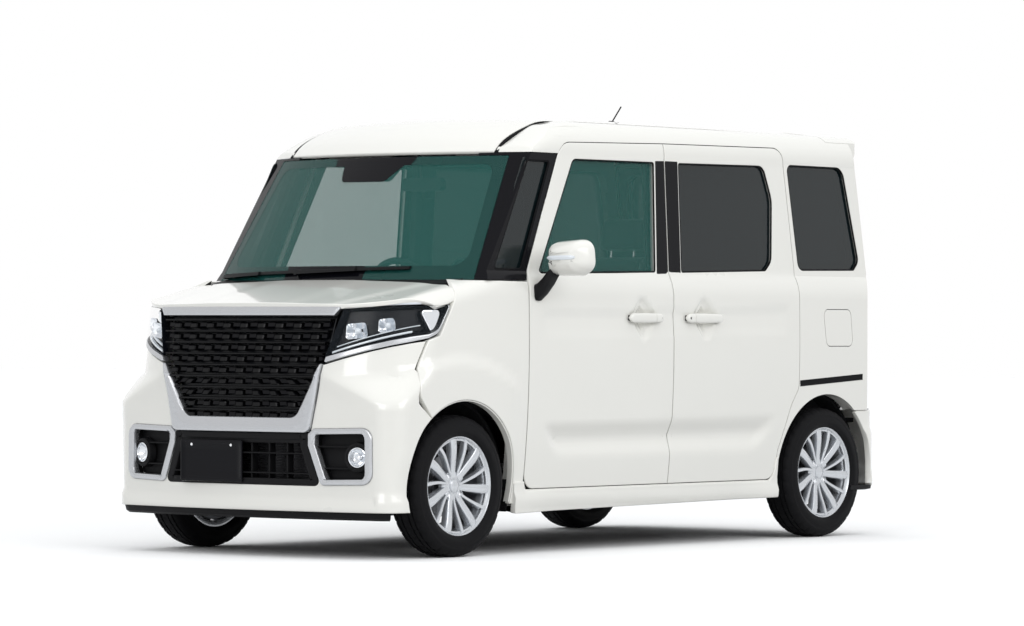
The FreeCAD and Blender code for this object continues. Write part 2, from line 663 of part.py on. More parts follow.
grille_mouth = front_prism(GRILLE_HOLE, -0.5)
lowest_bar = 575.0
bar_blocks = Part.Compound([block((0, FAR), (-500, 500), (z, z + 10))
                            for z in (lowest_bar + float(dim.bar_pitch) * i for i in range(8))])
grille_bars = layer(clip_form, 4, 40.5).common(grille_mouth).common(bar_blocks)
proud_blocks = layer(clip_form, 9, 40.5).common(grille_mouth).common(grille_blocks(lowest_bar + 15, 38, 22, 0))
deep_blocks = layer(clip_form, 20, 40.5).common(grille_mouth).common(grille_blocks(lowest_bar + 19, 44, 22, 1))
grille = joined([grille_back, grille_bars, proud_blocks, deep_blocks])
fog_ring = clip_form(-3).cut(clip_form(60)).common(front_prism(FOG, -0.5)).cut(front_prism(FOG, -26))
fog_back = layer(clip_form, 52, 60).common(front_prism(FOG, -25))
fog_trim = joined([fog_ring, fog_back])
intake_bars = [layer(clip_form, 12, 50).common(front_prism(INTAKE, -0.5)).common(
    block((0, FAR), (-500, 500), (z, z + 14))) for z in (300, 350, 400, 450)]
intake_posts = [layer(clip_form, 20, 60).common(front_prism(INTAKE, -0.5)).common(
    block((0, FAR), (y - 9, y + 9), (0, 700))) for y in (-250, 0, 250)]
lower_grille = joined(intake_bars + intake_posts)
lamp_shape = side_prism(LAMP, low=300).common(front_prism(LAMP_FRONT))
lamp_room = front_body.cut(bonnet_slab).common(lamp_shape)
lamp_lens = lamp_room.cut(clip_form(4))
lamp_case = lamp_room.common(clip_form(4 + fit)).cut(clip_form(95))
lamp_pocket = lamp_case.common(side_prism(LAMP, -7, low=300)).common(
    front_prism(LAMP_FRONT, -7)).cut(clip_form(85))
lamp_case = lamp_case.cut(lamp_pocket)
print("panels ready")

# tail: a top-hinged gate between the quarters, its spoiler, the lamps and the bumper
gate_top = header + 48
GATE_FACE = [(-gate_half, gate_top), (-gate_half, 897), (-551, 897), (-551, dim.rear_bumper_top + gap),
             (551, dim.rear_bumper_top + gap), (551, 897), (gate_half, 897), (gate_half, gate_top)]
GATE_WINDOW = [(-600, belt + 45, 40), (600, belt + 45, 40), (560, header - 15, 40), (-560, header - 15, 40)]
SPOILER = [(roof_seam - gap, 2000), (roof_seam - gap, gate_top + fit), (tail + 95, gate_top + fit, 8),
           (tail + 78, header + 88, 8), (tail + 90, 2000)]


def rear_prism(corners, grow=0.0):
    """Prism through a YZ outline across the tail."""
    return prism("YZ", grown(corners, grow), tail - 100, tail + 400)


spoiler_room = section_form(0).common(roof_form(0)).common(rear_bumper_form(60))
spoiler = spoiler_room.common(prism("XZ", SPOILER, -gate_half, gate_half))
gate = rear_prism(GATE_FACE).common(tail_form(0)).cut(tail_form(wall)).cut(rear_prism(GATE_WINDOW))
gate_glass = rear_prism(GATE_WINDOW, 25).common(layer(gate_form, 0, float(dim.glass)))
gate = gate.cut(rear_prism(GATE_WINDOW, 25 + fit).common(layer(gate_form, -1, float(dim.glass) + fit)))
lamp_room_rear = shell.common(block((tail - 100, from_rear(-290) - fit), (560 + fit, 712 - fit),
                                    (558 + fit, 892 - fit)))
tail_lamp = lamp_room_rear.cut(tail_form(45))
rear_cover = layer(rear_bumper_form, 0, 28).common(block((tail - 10, from_rear(-100)), (-900, 900),
                                                         (dim.rear_bumper_bottom, dim.rear_bumper_top)))
rear_cover = rear_cover.cut(rear_arch).cut(mirrored(rear_arch))
rear_shelf = rear_bumper_form(28).cut(tail_form(8)).common(
    block((tail - 10, from_rear(-330)), (-640, 640), (dim.rear_bumper_top - 18, dim.rear_bumper_top)))
rear_bumper = joined([rear_cover, rear_shelf])
skirt = layer(section_form, -8, 0).common(prism("XZ", [
    (ahead(-346), 163), (ahead(-338), 252), (from_rear(342), 252), (from_rear(350), 181)], 600, 900))
mudflap = block((ahead(-345) + fit, ahead(-338)), (600, 720), (168, 297)).common(section_form(skin + fit))

# underbody
cell_room = cabin_form(wall + fit)
room = cell_room.common(block((-FAR, ahead(-155)), (-FAR, FAR), (0, 900)))
floor_low, floor_high = float(dim.floor_height - dim.sheet), float(dim.floor_height)
deck_low, deck_high = float(dim.deck_height - dim.sheet), float(dim.deck_height)
kick = from_rear(380)
house = float(dim.sheet) * 0.75
front_house_room = arch(front_axle, dim.arch_radius + house, 385, 900)
rear_house_room = arch(rear_axle, dim.arch_radius + house, 545, 900)
floor_pan = joined([
    block((kick, ahead(-155)), (-700, 700), (floor_low, floor_high)),
    block((kick - 20, kick), (-700, 700), (floor_low, deck_high)),
    block((from_rear(-345), kick), (-700, 700), (deck_low, deck_high)),
    block((from_rear(-345), kick), (300, 350), (deck_low - 60, deck_low)),
    block((from_rear(-345), kick), (-350, -300), (deck_low - 60, deck_low)),
    block((kick, ahead(-360)), (560, 700), (dim.underside, floor_low)),
    block((kick, ahead(-360)), (-700, -560), (dim.underside, floor_low)),
    block((from_rear(-330), ahead(-155)), (300, 350), (floor_low - 70, floor_low)),
    block((from_rear(-330), ahead(-155)), (-350, -300), (floor_low - 70, floor_low))])
floor_pan = floor_pan.cut(block((from_rear(-400), kick - 20), (-900, 900), (0, deck_low - 60)))
floor_pan = floor_pan.common(room).cut(layer(section_form, wall, wall + 6).common(
    block((-FAR, FAR), (-900, 900), (sill + 25, floor_high))))
for house_room in (front_house_room, mirrored(front_house_room), rear_house_room, mirrored(rear_house_room)):
    floor_pan = floor_pan.cut(house_room)
jack_pads = [block((x - 40, x + 40), (y - 20, y + 20), (dim.underside - 6, dim.underside + 1))
             for x in (ahead(-632), from_rear(478)) for y in (-605, 605)]
floor_pan = joined([floor_pan] + jack_pads)


def wheel_house(axle, inner_wall, outer_wall, foot):
    """Sheet drum over a wheel, with its inner wall, open below and outside."""
    drum = arch(axle, dim.arch_radius + house, inner_wall - house, outer_wall)
    drum = drum.cut(arch(axle, dim.arch_radius, inner_wall, 900))
    return drum.common(block((axle - 500, axle + 500), (0, 900), (foot, 900)))


front_house = wheel_house(front_axle, 400, 640, 300)
rear_house = wheel_house(rear_axle, 560, 640, 340).common(cell_inner)
support_x = ahead(dim.front_overhang - 125)
rail = block((ahead(-135), support_x), (330, 384), (400, 470))
bulkhead = block((ahead(-155), ahead(-155 + float(dim.sheet))), (-640, 640), (floor_low, cowl - 70))
bulkhead = bulkhead.cut(front_house_room).cut(mirrored(front_house_room)).common(section_form(wall))
tray_plan = [(ahead(-160), -636), (ahead(-160), 636), (ahead(18), 636), (ahead(18), -636)]
tray_top = screen_form(-60).common(layer(bonnet_form, 10, 30)).common(prism("XY", tray_plan, 900, 1200))
tray_foot = layer(bonnet_form, 28, 48).common(block((ahead(-160), ahead(62)), (-636, 636), (900, 1200)))
bonnet_rest = layer(bonnet_form, float(dim.bonnet_thickness) + fit, 40).common(
    block((ahead(30), ahead(46)), (470, 520), (900, 1200)))
cowl_tray = joined([tray_top, tray_foot, bonnet_rest, mirrored(bonnet_rest)]).cut(screen_form(-0.3))
radiator_support = prism("YZ", [(-384, 400), (384, 400), (384, 715), (-384, 715)], support_x, support_x + 25).cut(
    block((0, FAR), (-340, 340), (470, 690)))
radiator = block((support_x - 30, support_x - fit), (-300, 300), (330, 690))
engine = joined([block((ahead(-90), ahead(250)), (-240, 240), (260, 640)),
                 block((ahead(60), ahead(120)), (fit - 330, 330 - fit), (420, 450)),
                 block((ahead(-60), ahead(200)), (-180, 200), (640, 800))])
fuel_tank = block((ahead(-1750), ahead(-1250)), (-298, 298), (195, floor_low - fit))
pipe_low = float(dim.underside) + float(dim.exhaust_radius) + 2
muffler_top = deck_low - 70
front_pipe = [(ahead(-90) - fit, -150, 330), (ahead(-128), -150, 275), (ahead(-300), -150, pipe_low),
              (ahead(-700), -405, pipe_low), (from_rear(-60), -405, pipe_low),
              (from_rear(-160), -330, muffler_top - 60)]
tail_pipe = [(from_rear(-270), -330, muffler_top - 60), (from_rear(-300), -330, 195), (from_rear(-405), -330, 182)]
muffler = prism("YZ", [(-400, muffler_top - 130, 45), (-400, muffler_top, 45), (-60, muffler_top, 45),
                       (-60, muffler_top - 130, 45)], from_rear(-330), from_rear(-120))
muffler_hanger = block((from_rear(-250), from_rear(-220)), (-340, -310), (muffler_top - 5, deck_low - 60 - fit))
exhaust = joined([pipe(front_pipe, dim.exhaust_radius).cut(block((ahead(-90) - fit, ahead(0)), (-300, 0), (200, 500))),
                  pipe(tail_pipe, dim.exhaust_radius - 2), muffler, muffler_hanger])
print("structure ready")


# ---------------------------------------------------------------- PartDesign helpers
def plane_of(body, role):
    return next(item for item in body.Origin.OriginFeatures if item.Role == role)


def sketch_on(body, role, name):
    sketch = body.newObject("Sketcher::SketchObject", name)
    sketch.AttachmentSupport = (plane_of(body, role), [""])
    sketch.MapMode = "FlatFace"
    return sketch


def bind_vertex(sketch, edge, point):
    """Ties the start of a sketch edge to a place given as two sizes."""
    for kind, axis, value in (("DistanceX", -2, point[0]), ("DistanceY", -1, point[1])):
        value = size(value)
        if abs(value.value) < 1e-9:
            sketch.addConstraint(Sketcher.Constraint("PointOnObject", edge, 1, axis))
        else:
            index = sketch.addConstraint(Sketcher.Constraint(kind, -1, 1, edge, 1, value.value))
            sketch.setExpression(f"Constraints[{index}]", value.formula)


def polygon(sketch, points):
    """Closed polygon whose corners follow the sheet."""
    count = len(points)
    corners = [Vector(float(a), float(b), 0) for a, b in points]
    for i in range(count):
        sketch.addGeometry(Part.LineSegment(corners[i], corners[(i + 1) % count]), False)
    for i in range(count):
        sketch.addConstraint(Sketcher.Constraint("Coincident", i, 2, (i + 1) % count, 1))
    for i, point in enumerate(points):
        bind_vertex(sketch, i, point)
    return sketch


def revolve(body, points, name):
    """Turns a polygon drawn in (y, radius) about the Y axis."""
    profile = polygon(sketch_on(body, "YZ_Plane", name + "_profile"), points)
    turned = body.newObject("PartDesign::Revolution", name)
    turned.Profile = profile
    turned.ReferenceAxis = (profile, ["H_Axis"])
    turned.Angle = 360
    return turned


def pad(body, role, points, thickness, name, start=0, reverse=False, cut=False):
    """Pads, or pockets, a polygon from a start height off its plane by a thickness."""
    profile = polygon(sketch_on(body, role, name + "_profile"), points)
    start = size(start)
    profile.AttachmentOffset = Placement(Vector(0, 0, start.value), Rotation())
    profile.setExpression("AttachmentOffset.Base.z", start.formula)
    feature = body.newObject("PartDesign::Pocket" if cut else "PartDesign::Pad", name)
    feature.Profile = profile
    feature.setExpression("Length", size(thickness).formula)
    feature.Reversed = reverse
    return feature


def ring_of(body, feature, count, name):
    """Repeats a feature about the Y axis."""
    pattern = body.newObject("PartDesign::PolarPattern", name)
    pattern.Originals = [feature]
    pattern.Axis = (plane_of(body, "Y_Axis"), [""])
    pattern.Angle = 360
    pattern.setExpression("Occurrences", size(count).formula)
    body.Tip = pattern
    doc.recompute()
    return pattern


def place(feature, x, y, z, turn=0.0):
    """Puts an object at a place given as sizes, turned about the vertical."""
    feature.Placement = Placement(Vector(float(x), float(y), float(z)), Rotation(Vector(0, 0, 1), turn))
    for axis, value in zip("xyz", (x, y, z)):
        feature.setExpression(f"Placement.Base.{axis}", size(value).formula)
    return feature


# ---------------------------------------------------------------- wheels
def tyre_body():
    """Tyre cross-section: beads, bulged sidewalls and a crowned tread."""
    body = doc.addObject("PartDesign::Body", "tyre_master")
    half, rim, top = dim.tyre_width / 2, dim.bead_radius, dim.tyre_radius
    seat_edge = dim.rim_width / 2
    side = [(seat_edge - 11.5, rim), (seat_edge - 6.5, rim + 14.5), (seat_edge + 1, rim + 16),
            (half, rim + 42), (half - 4, rim + 68), (half - 17, top - 9), (half - 32, top - 2.5)]
    points = side + [(0, top)] + [(-a, b) for a, b in reversed(side)]
    inner = [(-(half - 34), rim), (-(half - 24), rim + 30), (-(half - 20), top - 30), (half - 20, top - 30),
             (half - 24, rim + 30), (half - 34, rim)]
    revolve(body, points + inner, "tyre_ring")
    return body


def wheel_body():
    """Alloy wheel: barrel, hub disc and seven pairs of a broad and a slim spoke."""
    body = doc.addObject("PartDesign::Body", "wheel_master")
    half, rim = dim.rim_width / 2, dim.bead_radius
    barrel = [(half, rim + 14), (half - 6, rim + 14), (half - 11, rim - fit), (half - 30, rim - fit),
              (half - 44, rim - 20), (-half + 35, rim - 20), (-half + 22, rim - fit), (-half + 11, rim - fit),
              (-half + 6, rim + 14), (-half, rim + 14), (-half + 5, rim - 8), (-half + 24, rim - 10),
              (-half + 38, rim - 27), (half - 52, rim - 27), (half - 32, rim - 10), (half - 5, rim - 8)]
    revolve(body, barrel, "barrel")
    face = half - 8
    hub = [(face - 34, 0), (face - 34, 76), (face - 16, 72), (face - 10, 46), (face - 6, 27), (face - 6, 0)]
    revolve(body, hub, "hub_disc")
    doc.recompute()
    # columns: name, half width at the hub, half width at the rim, lead angle
    for name, foot, tip, lead in (("broad_spoke", 13, 20, -6), ("slim_spoke", 6, 9, 20)):
        near, far = size(36), rim - 18
        near_turn, far_turn = math.radians(lead), math.radians(lead + 9)

        def corner(radius, turn, offset):
            return (radius * math.sin(turn) + offset * math.cos(turn),
                    radius * math.cos(turn) - offset * math.sin(turn))

        points = [corner(near, near_turn, -foot), corner(far, far_turn, -tip),
                  corner(far, far_turn, tip), corner(near, near_turn, foot)]
        spoke = pad(body, "XZ_Plane", points, 26, name, start=-(face - 32), reverse=True)
        doc.recompute()
        ring_of(body, spoke, dim.spoke_pairs, name + "_ring")
    reach = dim.stud_circle / 2 * math.sin(math.radians(45))
    square = [(reach - 9, reach - 9), (reach + 9, reach - 9), (reach + 9, reach + 9), (reach - 9, reach + 9)]
    recess = pad(body, "XZ_Plane", square, 12, "nut_recess", start=-(face - 18), reverse=True, cut=True)
    doc.recompute()
    ring_of(body, recess, dim.stud_count, "nut_recess_ring")
    return body


hub_back = dim.rim_width / 2 - 8 - 34
tyre_master = tyre_body()
wheel_master = wheel_body()
disc_master = doc.addObject("PartDesign::Body", "disc_master")
revolve(disc_master, [(-18, 40), (-18, 118), (-2, 118), (-2, 72), (hub_back - fit, 72), (hub_back - fit, 0),
                      (0, 0), (0, 30), (-8, 30), (-8, 40)], "disc")
drum_master = doc.addObject("PartDesign::Body", "drum_master")
revolve(drum_master, [(-30, 92), (-30, 104), (hub_back - 8, 104), (hub_back - fit, 72), (hub_back - fit, 0),
                      (0, 0), (0, 92)], "drum")
doc.recompute()

# columns: corner, axle position, half track, side, brake behind the wheel
CORNERS = [("front_left", front_axle, dim.front_track / 2, 1, disc_master),
           ("front_right", front_axle, dim.front_track / 2, -1, disc_master),
           ("rear_left", rear_axle, dim.rear_track / 2, 1, drum_master),
           ("rear_right", rear_axle, dim.rear_track / 2, -1, drum_master)]
for corner_name, axle, half_track, side, brake in CORNERS:
    for label, masters in (("tyre", [tyre_master]), ("wheel", [wheel_master, brake])):
        copy = doc.addObject("Part::Compound", f"{label}_{corner_name}")
        copy.Links = masters
        place(copy, axle, half_track * side, axle_height, 0 if side > 0 else 180)
        sub_part(copy.Name, feature=copy)

# ---------------------------------------------------------------- steering and suspension
half_track = float(dim.front_track) / 2
hub_z = float(axle_height)
fx, rx = float(front_axle), float(rear_axle)
ball = Vector(fx, half_track - float(dim.steer_axis_offset), hub_z - 98)
strut_top = Vector(fx, ball.y - 100, ball.z + 580)
kingpin = (strut_top - ball).normalize()


def on_kingpin(distance):
    """A point on the steering axis, measured up from the ball joint."""
    return ball + kingpin * distance


hub_point = on_kingpin((hub_z - ball.z) / kingpin.z)
knuckle = joined([cylinder(30, hub_point - Vector(0, 8, 0), (fx, half_track - 22, hub_z)),
                  cylinder(15, (fx, half_track - 23, hub_z), (fx, half_track - fit, hub_z)),
                  cylinder(16, on_kingpin(5), on_kingpin(150)), cylinder(8, on_kingpin(-24), on_kingpin(6)),
                  cylinder(22, on_kingpin(140), on_kingpin(430)), cylinder(9, on_kingpin(429), on_kingpin(575)),
                  block((fx - 110, fx), (hub_point.y - 8, hub_point.y + 8), (hub_z - 10, hub_z + 10))])
ball_z = ball.z
arm = joined([Part.makeCylinder(20, 26, on_kingpin(-26), kingpin),
              prism("XY", [(fx - 18, ball.y), (fx + 18, ball.y), (fx + 40, 300), (fx - 134, 300), (fx - 134, 340)],
                    ball_z - 22, ball_z - 6)]).cut(Part.makeCylinder(8 + fit, 80, on_kingpin(-60), kingpin))
subframe = block((fx - 136, fx + 60), (-310, 310), (ball_z - 30, ball_z + 50))
subframe = subframe.cut(block((fx - 90 - 5, fx + 70), (-200, 200), (ball_z + 10, 900)))
hanger = block((fx - 132, fx - 96), (300, 384), (ball_z, 400 - fit))
front_suspension = joined([subframe, arm, mirrored(arm), hanger, mirrored(hanger)])
tower = cylinder(66, strut_top - kingpin * 150, strut_top + kingpin * 14).cut(
    cylinder(58, strut_top - kingpin * 200, strut_top + kingpin * 6))
front_house = joined([front_house.cut(cylinder(58, strut_top - kingpin * 300, strut_top)),
                      tower.cut(arch(front_axle, dim.arch_radius + house - 4, 300, 800))])
rear_half = float(dim.rear_track) / 2
beam_x = rx + 240
trailing = joined([block((rx - 30, rx + 420), (430, 480), (hub_z - 45, hub_z + 25)),
                   cylinder(30, (rx + 420, 415, hub_z - 10), (rx + 420, 500, hub_z - 10)),
                   cylinder(28, (rx, 440, hub_z), (rx, rear_half - 32, hub_z)),
                   cylinder(15, (rx, rear_half - 33, hub_z), (rx, rear_half - fit, hub_z)),
                   cylinder(58, (rx + 60, 455, hub_z - 20), (rx + 60, 455, hub_z + 30))])
rear_axle_beam = joined([block((beam_x - 35, beam_x + 35), (-440, 440), (hub_z - 30, hub_z + 20)), trailing,
                         mirrored(trailing)])
coil = cylinder(45, (rx + 60, 455, hub_z + 30 + fit), (rx + 60, 455, deck_low - fit)).cut(
    cylinder(32, (rx + 60, 455, 0), (rx + 60, 455, 900)))

# ---------------------------------------------------------------- cabin
seat_w = float(dim.seat_width)
seat_z = float(dim.seat_height)


def seat(front, recline, y_low, y_high, rest_top):
    """Cushion, leaning backrest and headrest as one soft form."""
    cushion = prism("XZ", [(front, seat_z - 120, 40), (front, seat_z - 5, 45), (front - 470, seat_z - 35, 10),
                           (front - 470, seat_z - 150, 40)], y_low, y_high)
    rest = prism("XZ", [(front - 430, seat_z - 120, 50), (front - 400, seat_z + 20, 40),
                        (front - 400 - recline, rest_top, 45), (front - 400 - recline - 90, rest_top - 5, 45),
                        (front - 560, seat_z - 110, 40)], y_low + 15, y_high - 15)
    middle = (y_low + y_high) / 2
    base = front - 410 - recline
    head = prism("XZ", [(base - 15, rest_top + 25, 25), (base - 45, rest_top + 165, 35),
                        (base - 120, rest_top + 160, 35), (base - 95, rest_top + 20, 25)], middle - 120, middle + 120)
    post = cylinder(7, (base - 52, middle - 60, rest_top - 40), (base - 62, middle - 60, rest_top + 40))
    post_twin = post.copy()
    post_twin.translate(Vector(0, 120, 0))
    return joined([cushion, rest, head, post, post_twin])


front_seat = seat(ahead(-950), 120, 80, 80 + seat_w, 1200)
deck_room = block((from_rear(-400), kick + 1), (0, 900), (0, deck_high + fit))
rear_seat = seat(from_rear(640), 110, 15, 600, 1130).cut(deck_room).cut(
    arch(rear_axle, dim.arch_radius + house + 5, 535, 900))
plinth = block((ahead(-1390), ahead(-1010)), (110, 550), (floor_high, seat_z - 130))
rear_plinth = block((kick + 1, from_rear(600)), (60, 540), (floor_high, seat_z - 130)).cut(rear_seat)
dash = prism("XZ", [(ahead(-250), 900), (ahead(-250), 1040, 40), (ahead(-560), 1048, 40), (ahead(-600), 940, 40),
                    (ahead(-520), 760, 30), (ahead(-420), 740, 20), (ahead(-400), 880, 30)], -700, 700)
dash = dash.common(section_form(wall + fit)).common(screen_form(30))
for pair in ((620, 900), (-900, -620)):
    dash = dash.cut(block((-FAR, door_front + 10), pair, (0, 2000)))
wheel_y = -340.0
wheel_centre = Vector(ahead(-925), wheel_y, 1015)
rake = math.radians(float(dim.steering_rake))
axis = Vector(-math.cos(rake), 0, math.sin(rake))
grip = Part.makeTorus(float(dim.steering_wheel_radius), 15, wheel_centre, axis)
boss = Part.makeCylinder(62, 45, wheel_centre - axis * 50, axis)
spoke_bar = Part.makeBox(24, 2 * float(dim.steering_wheel_radius) - 10, 14)
spoke_bar.translate(Vector(-12, 5 - float(dim.steering_wheel_radius), -7))
lower_bar = Part.makeBox(float(dim.steering_wheel_radius) - 5, 40, 14)
lower_bar.translate(Vector(0, -20, -7))
bars = spoke_bar.fuse(lower_bar)
bars.Placement = Placement(wheel_centre - axis * 12, Rotation(Vector(0, 0, 1), axis))
steering_wheel = joined([grip, boss, bars])
column_top = wheel_centre - axis * (50 + fit)
column_foot = wheel_centre - axis * 450
column = cylinder(38, column_foot, column_top).cut(dash)
room_mirror = prism("YZ", [(-106, 1460, 24), (106, 1460, 24), (110, 1514, 24), (-110, 1514, 24)],
                    ahead(-635), ahead(-608))
mirror_stalk = cylinder(8, (ahead(-615), 0, 1500), (ahead(-560), 0, 1760)).common(cell_room)
screen_sensor = layer(screen_form, float(dim.glass) + fit, 60).common(
    prism("YZ", [(-112, 1490, 15), (-112, 1562), (112, 1562), (80, 1490, 25)], 0, length))

# ---------------------------------------------------------------- outside fittings
mirror_in, mirror_out = float(half_width) + 24, float(half_width + dim.mirror_reach)
MIRROR_FRONT = [(mirror_in + 6, 1104, 25), (mirror_in, 1246, 40), (mirror_out - 12, 1257, 45), (mirror_out, 1140, 40),
                (mirror_out - 50, 1104, 50)]
MIRROR_PLAN = [(ahead(-556), mirror_in, 12), (ahead(-434), mirror_in, 30), (ahead(-444), mirror_out - 50, 70),
               (ahead(-510), mirror_out, 30), (ahead(-560), mirror_out - 4, 10)]
MIRROR_FOOT = [(float(half_width) - 30, 1012), (float(half_width) + 12, 1004), (mirror_in + 46, 1105),
               (mirror_in + 46, 1130), (mirror_in + 6, 1130), (float(half_width) - 30, 1075)]
mirror_shell = prism("YZ", MIRROR_FRONT, ahead(-600), ahead(-400)).common(prism("XY", MIRROR_PLAN, 1050, 1300))
mirror_shell = mirror_shell.cut(prism("YZ", grown(MIRROR_FRONT, -9), ahead(-600), ahead(-550)))
mirror_foot = prism("YZ", MIRROR_FOOT, ahead(-480), ahead(-440))
door_mirror = joined([mirror_shell, mirror_foot]).cut(section_form(-fit))
aerial = joined([cylinder(14, (ahead(-1875), 0, dim.roof_height - 12), (ahead(-1880), 0, dim.roof_height + 12)),
                 cylinder(3, (ahead(-1880), 0, dim.roof_height + 8), (ahead(-1945), 0, dim.roof_height + 78))])
aerial = aerial.cut(roof_form(-fit))


def wiper(form, pivot, heel, tip):
    """Blade lying on a form from heel to tip, with the arm and boss that carry it."""
    rise = float(dim.wiper_height)
    middle = ((heel[0] + tip[0]) / 2, (heel[1] + tip[1]) / 2)
    blade = layer(form, 8 - rise, -fit).common(prism("YZ", strip(heel, tip, 12), -length, length))
    arm = layer(form, -rise, 9 - rise).common(prism("YZ", strip(pivot, middle, 14), -length, length))
    boss = layer(form, -rise, -fit).common(cylinder(11, (-length, *pivot), (length, *pivot)))
    return joined([blade, arm, boss])


# columns: pivot, heel and tip of each blade as y and z
WIPERS = [((-620, cowl + 20), (-580, cowl + 26), (-150, cowl + 36)),
          ((-130, cowl + 34), (-60, cowl + 40), (410, cowl + 50))]
front_wipers = Part.Compound([wiper(screen_form, *places) for places in WIPERS])
rear_wiper = wiper(gate_form, (0, belt + 70), (-40, belt + 88), (-330, belt + 88))
rear_wiper = rear_wiper.common(block((-length, 0), (-900, 900), (0, 2000)))

lid_arm = block((from_rear(24) - 22, from_rear(24) - fit), (half_width - 34, half_width - 6), (894, 912))
fuel_lid = joined([fuel_lid, lid_arm])

for label, shape in [
        ("floor_pan", floor_pan), ("bulkhead", bulkhead),
        ("wheelhouses", Part.Compound([front_house, rail, mirrored(front_house), mirrored(rail),
                                       rear_house, mirrored(rear_house), mudflap, mirrored(mudflap)])),
        ("body_sides", Part.Compound([body_side_left, mirrored(body_side)])),
        ("windscreen_pillars", both(pillars)), ("roof_panel", roof_panel), ("windscreen", screen_glass),
        ("side_windows", Part.Compound([each for pane_shape in (quarter_pane, pillar_pane, slide_pane)
                                        for each in (pane_shape, mirrored(pane_shape))])),
        ("sliding_doors", both(slide_door)),
        ("front_door_left", front_door), ("front_door_right", mirrored(front_door)),
        ("door_window_left", front_pane), ("door_window_right", mirrored(front_pane)),
        ("door_mirror_left", door_mirror), ("door_mirror_right", mirrored(door_mirror)),
        ("front_fenders", both(fender)), ("bonnet", bonnet), ("front_bumper", bumper),
        ("grille_surround", surround), ("radiator_grille", grille), ("lower_grille", lower_grille),
        ("fog_lamp_bezels", both(fog_trim)), ("headlamps", both(lamp_case)), ("headlamp_lenses", both(lamp_lens)),
        ("cowl", cowl_tray), ("tailgate", gate), ("tailgate_glass", gate_glass), ("rear_spoiler", spoiler),
        ("tail_lamps", both(tail_lamp)), ("rear_bumper", rear_bumper), ("side_skirts", both(skirt)),
        ("fuel_lid", fuel_lid), ("radiator", Part.Compound([radiator, radiator_support])),
        ("engine_block", engine), ("fuel_tank", fuel_tank), ("front_suspension", front_suspension),
        ("knuckle_left", knuckle), ("knuckle_right", mirrored(knuckle)),
        ("rear_axle", Part.Compound([rear_axle_beam, coil, mirrored(coil)])),
        ("front_seats", both(joined([front_seat, plinth]))),
        ("rear_seats", both(joined([rear_seat, rear_plinth]))), ("dashboard", joined([dash, column])),
        ("room_mirror", Part.Compound([joined([room_mirror, mirror_stalk]), screen_sensor])),
        ("steering_wheel", steering_wheel), ("aerial", aerial), ("wipers", front_wipers),
        ("rear_wiper", rear_wiper), ("exhaust", exhaust)]:
    sub_part(label, shape)

# ---------------------------------------------------------------- checks and export
doc.recompute()
for item in doc.Objects:
    if "Invalid" in item.State or "Error" in item.State:
        raise RuntimeError(f"{item.Label} failed: {item.State}")
os.makedirs("parts", exist_ok=True)
for item in SUB_PARTS:
    if item.Shape.isNull() or not item.Shape.isValid() or not item.Shape.Solids:
        raise RuntimeError(f"{item.Label} has no valid solid")
    print(f"{item.Label}: {len(item.Shape.Solids)} solids, {item.Shape.Volume / 1e6:.2f} litres")
for item in SUB_PARTS:
    item.Shape.exportStep(f"parts/{item.Label}.step")
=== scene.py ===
"""Looks of the kei car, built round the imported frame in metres."""
import math

import bmesh
import bpy
import numpy as np
from mathutils import Matrix, Vector
from mathutils.geometry import delaunay_2d_cdt


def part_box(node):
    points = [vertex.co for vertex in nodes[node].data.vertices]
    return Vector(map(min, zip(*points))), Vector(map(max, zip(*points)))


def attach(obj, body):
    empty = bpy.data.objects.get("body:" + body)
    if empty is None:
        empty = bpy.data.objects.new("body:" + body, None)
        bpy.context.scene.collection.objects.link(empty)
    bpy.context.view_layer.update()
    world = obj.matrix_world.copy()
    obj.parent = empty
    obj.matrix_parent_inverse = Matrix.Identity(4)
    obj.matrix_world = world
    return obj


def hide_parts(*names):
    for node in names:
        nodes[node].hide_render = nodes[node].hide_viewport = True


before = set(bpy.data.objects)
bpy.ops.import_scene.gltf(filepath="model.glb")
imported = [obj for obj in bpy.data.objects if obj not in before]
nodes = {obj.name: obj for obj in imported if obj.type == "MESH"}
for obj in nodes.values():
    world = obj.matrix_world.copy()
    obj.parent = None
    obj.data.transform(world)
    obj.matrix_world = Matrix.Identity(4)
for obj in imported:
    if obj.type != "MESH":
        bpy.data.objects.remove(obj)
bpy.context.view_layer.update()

# ---- driving sizes
front_box, rear_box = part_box("tyre_front_left"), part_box("tyre_rear_left")
FRONT = (front_box[0].x + front_box[1].x) / 2
REAR = (rear_box[0].x + rear_box[1].x) / 2
WHEEL_Z = (front_box[0].z + front_box[1].z) / 2
TRACK_FRONT = (front_box[0].y + front_box[1].y) / 2
TRACK_REAR = (rear_box[0].y + rear_box[1].y) / 2
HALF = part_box("body_sides")[1].y
TAIL = REAR - 0.420
BELT, HEADER, COWL, ROOF = 1.125, 1.600, 1.086, 1.780
ARCH = 0.338
GAP = 0.0022


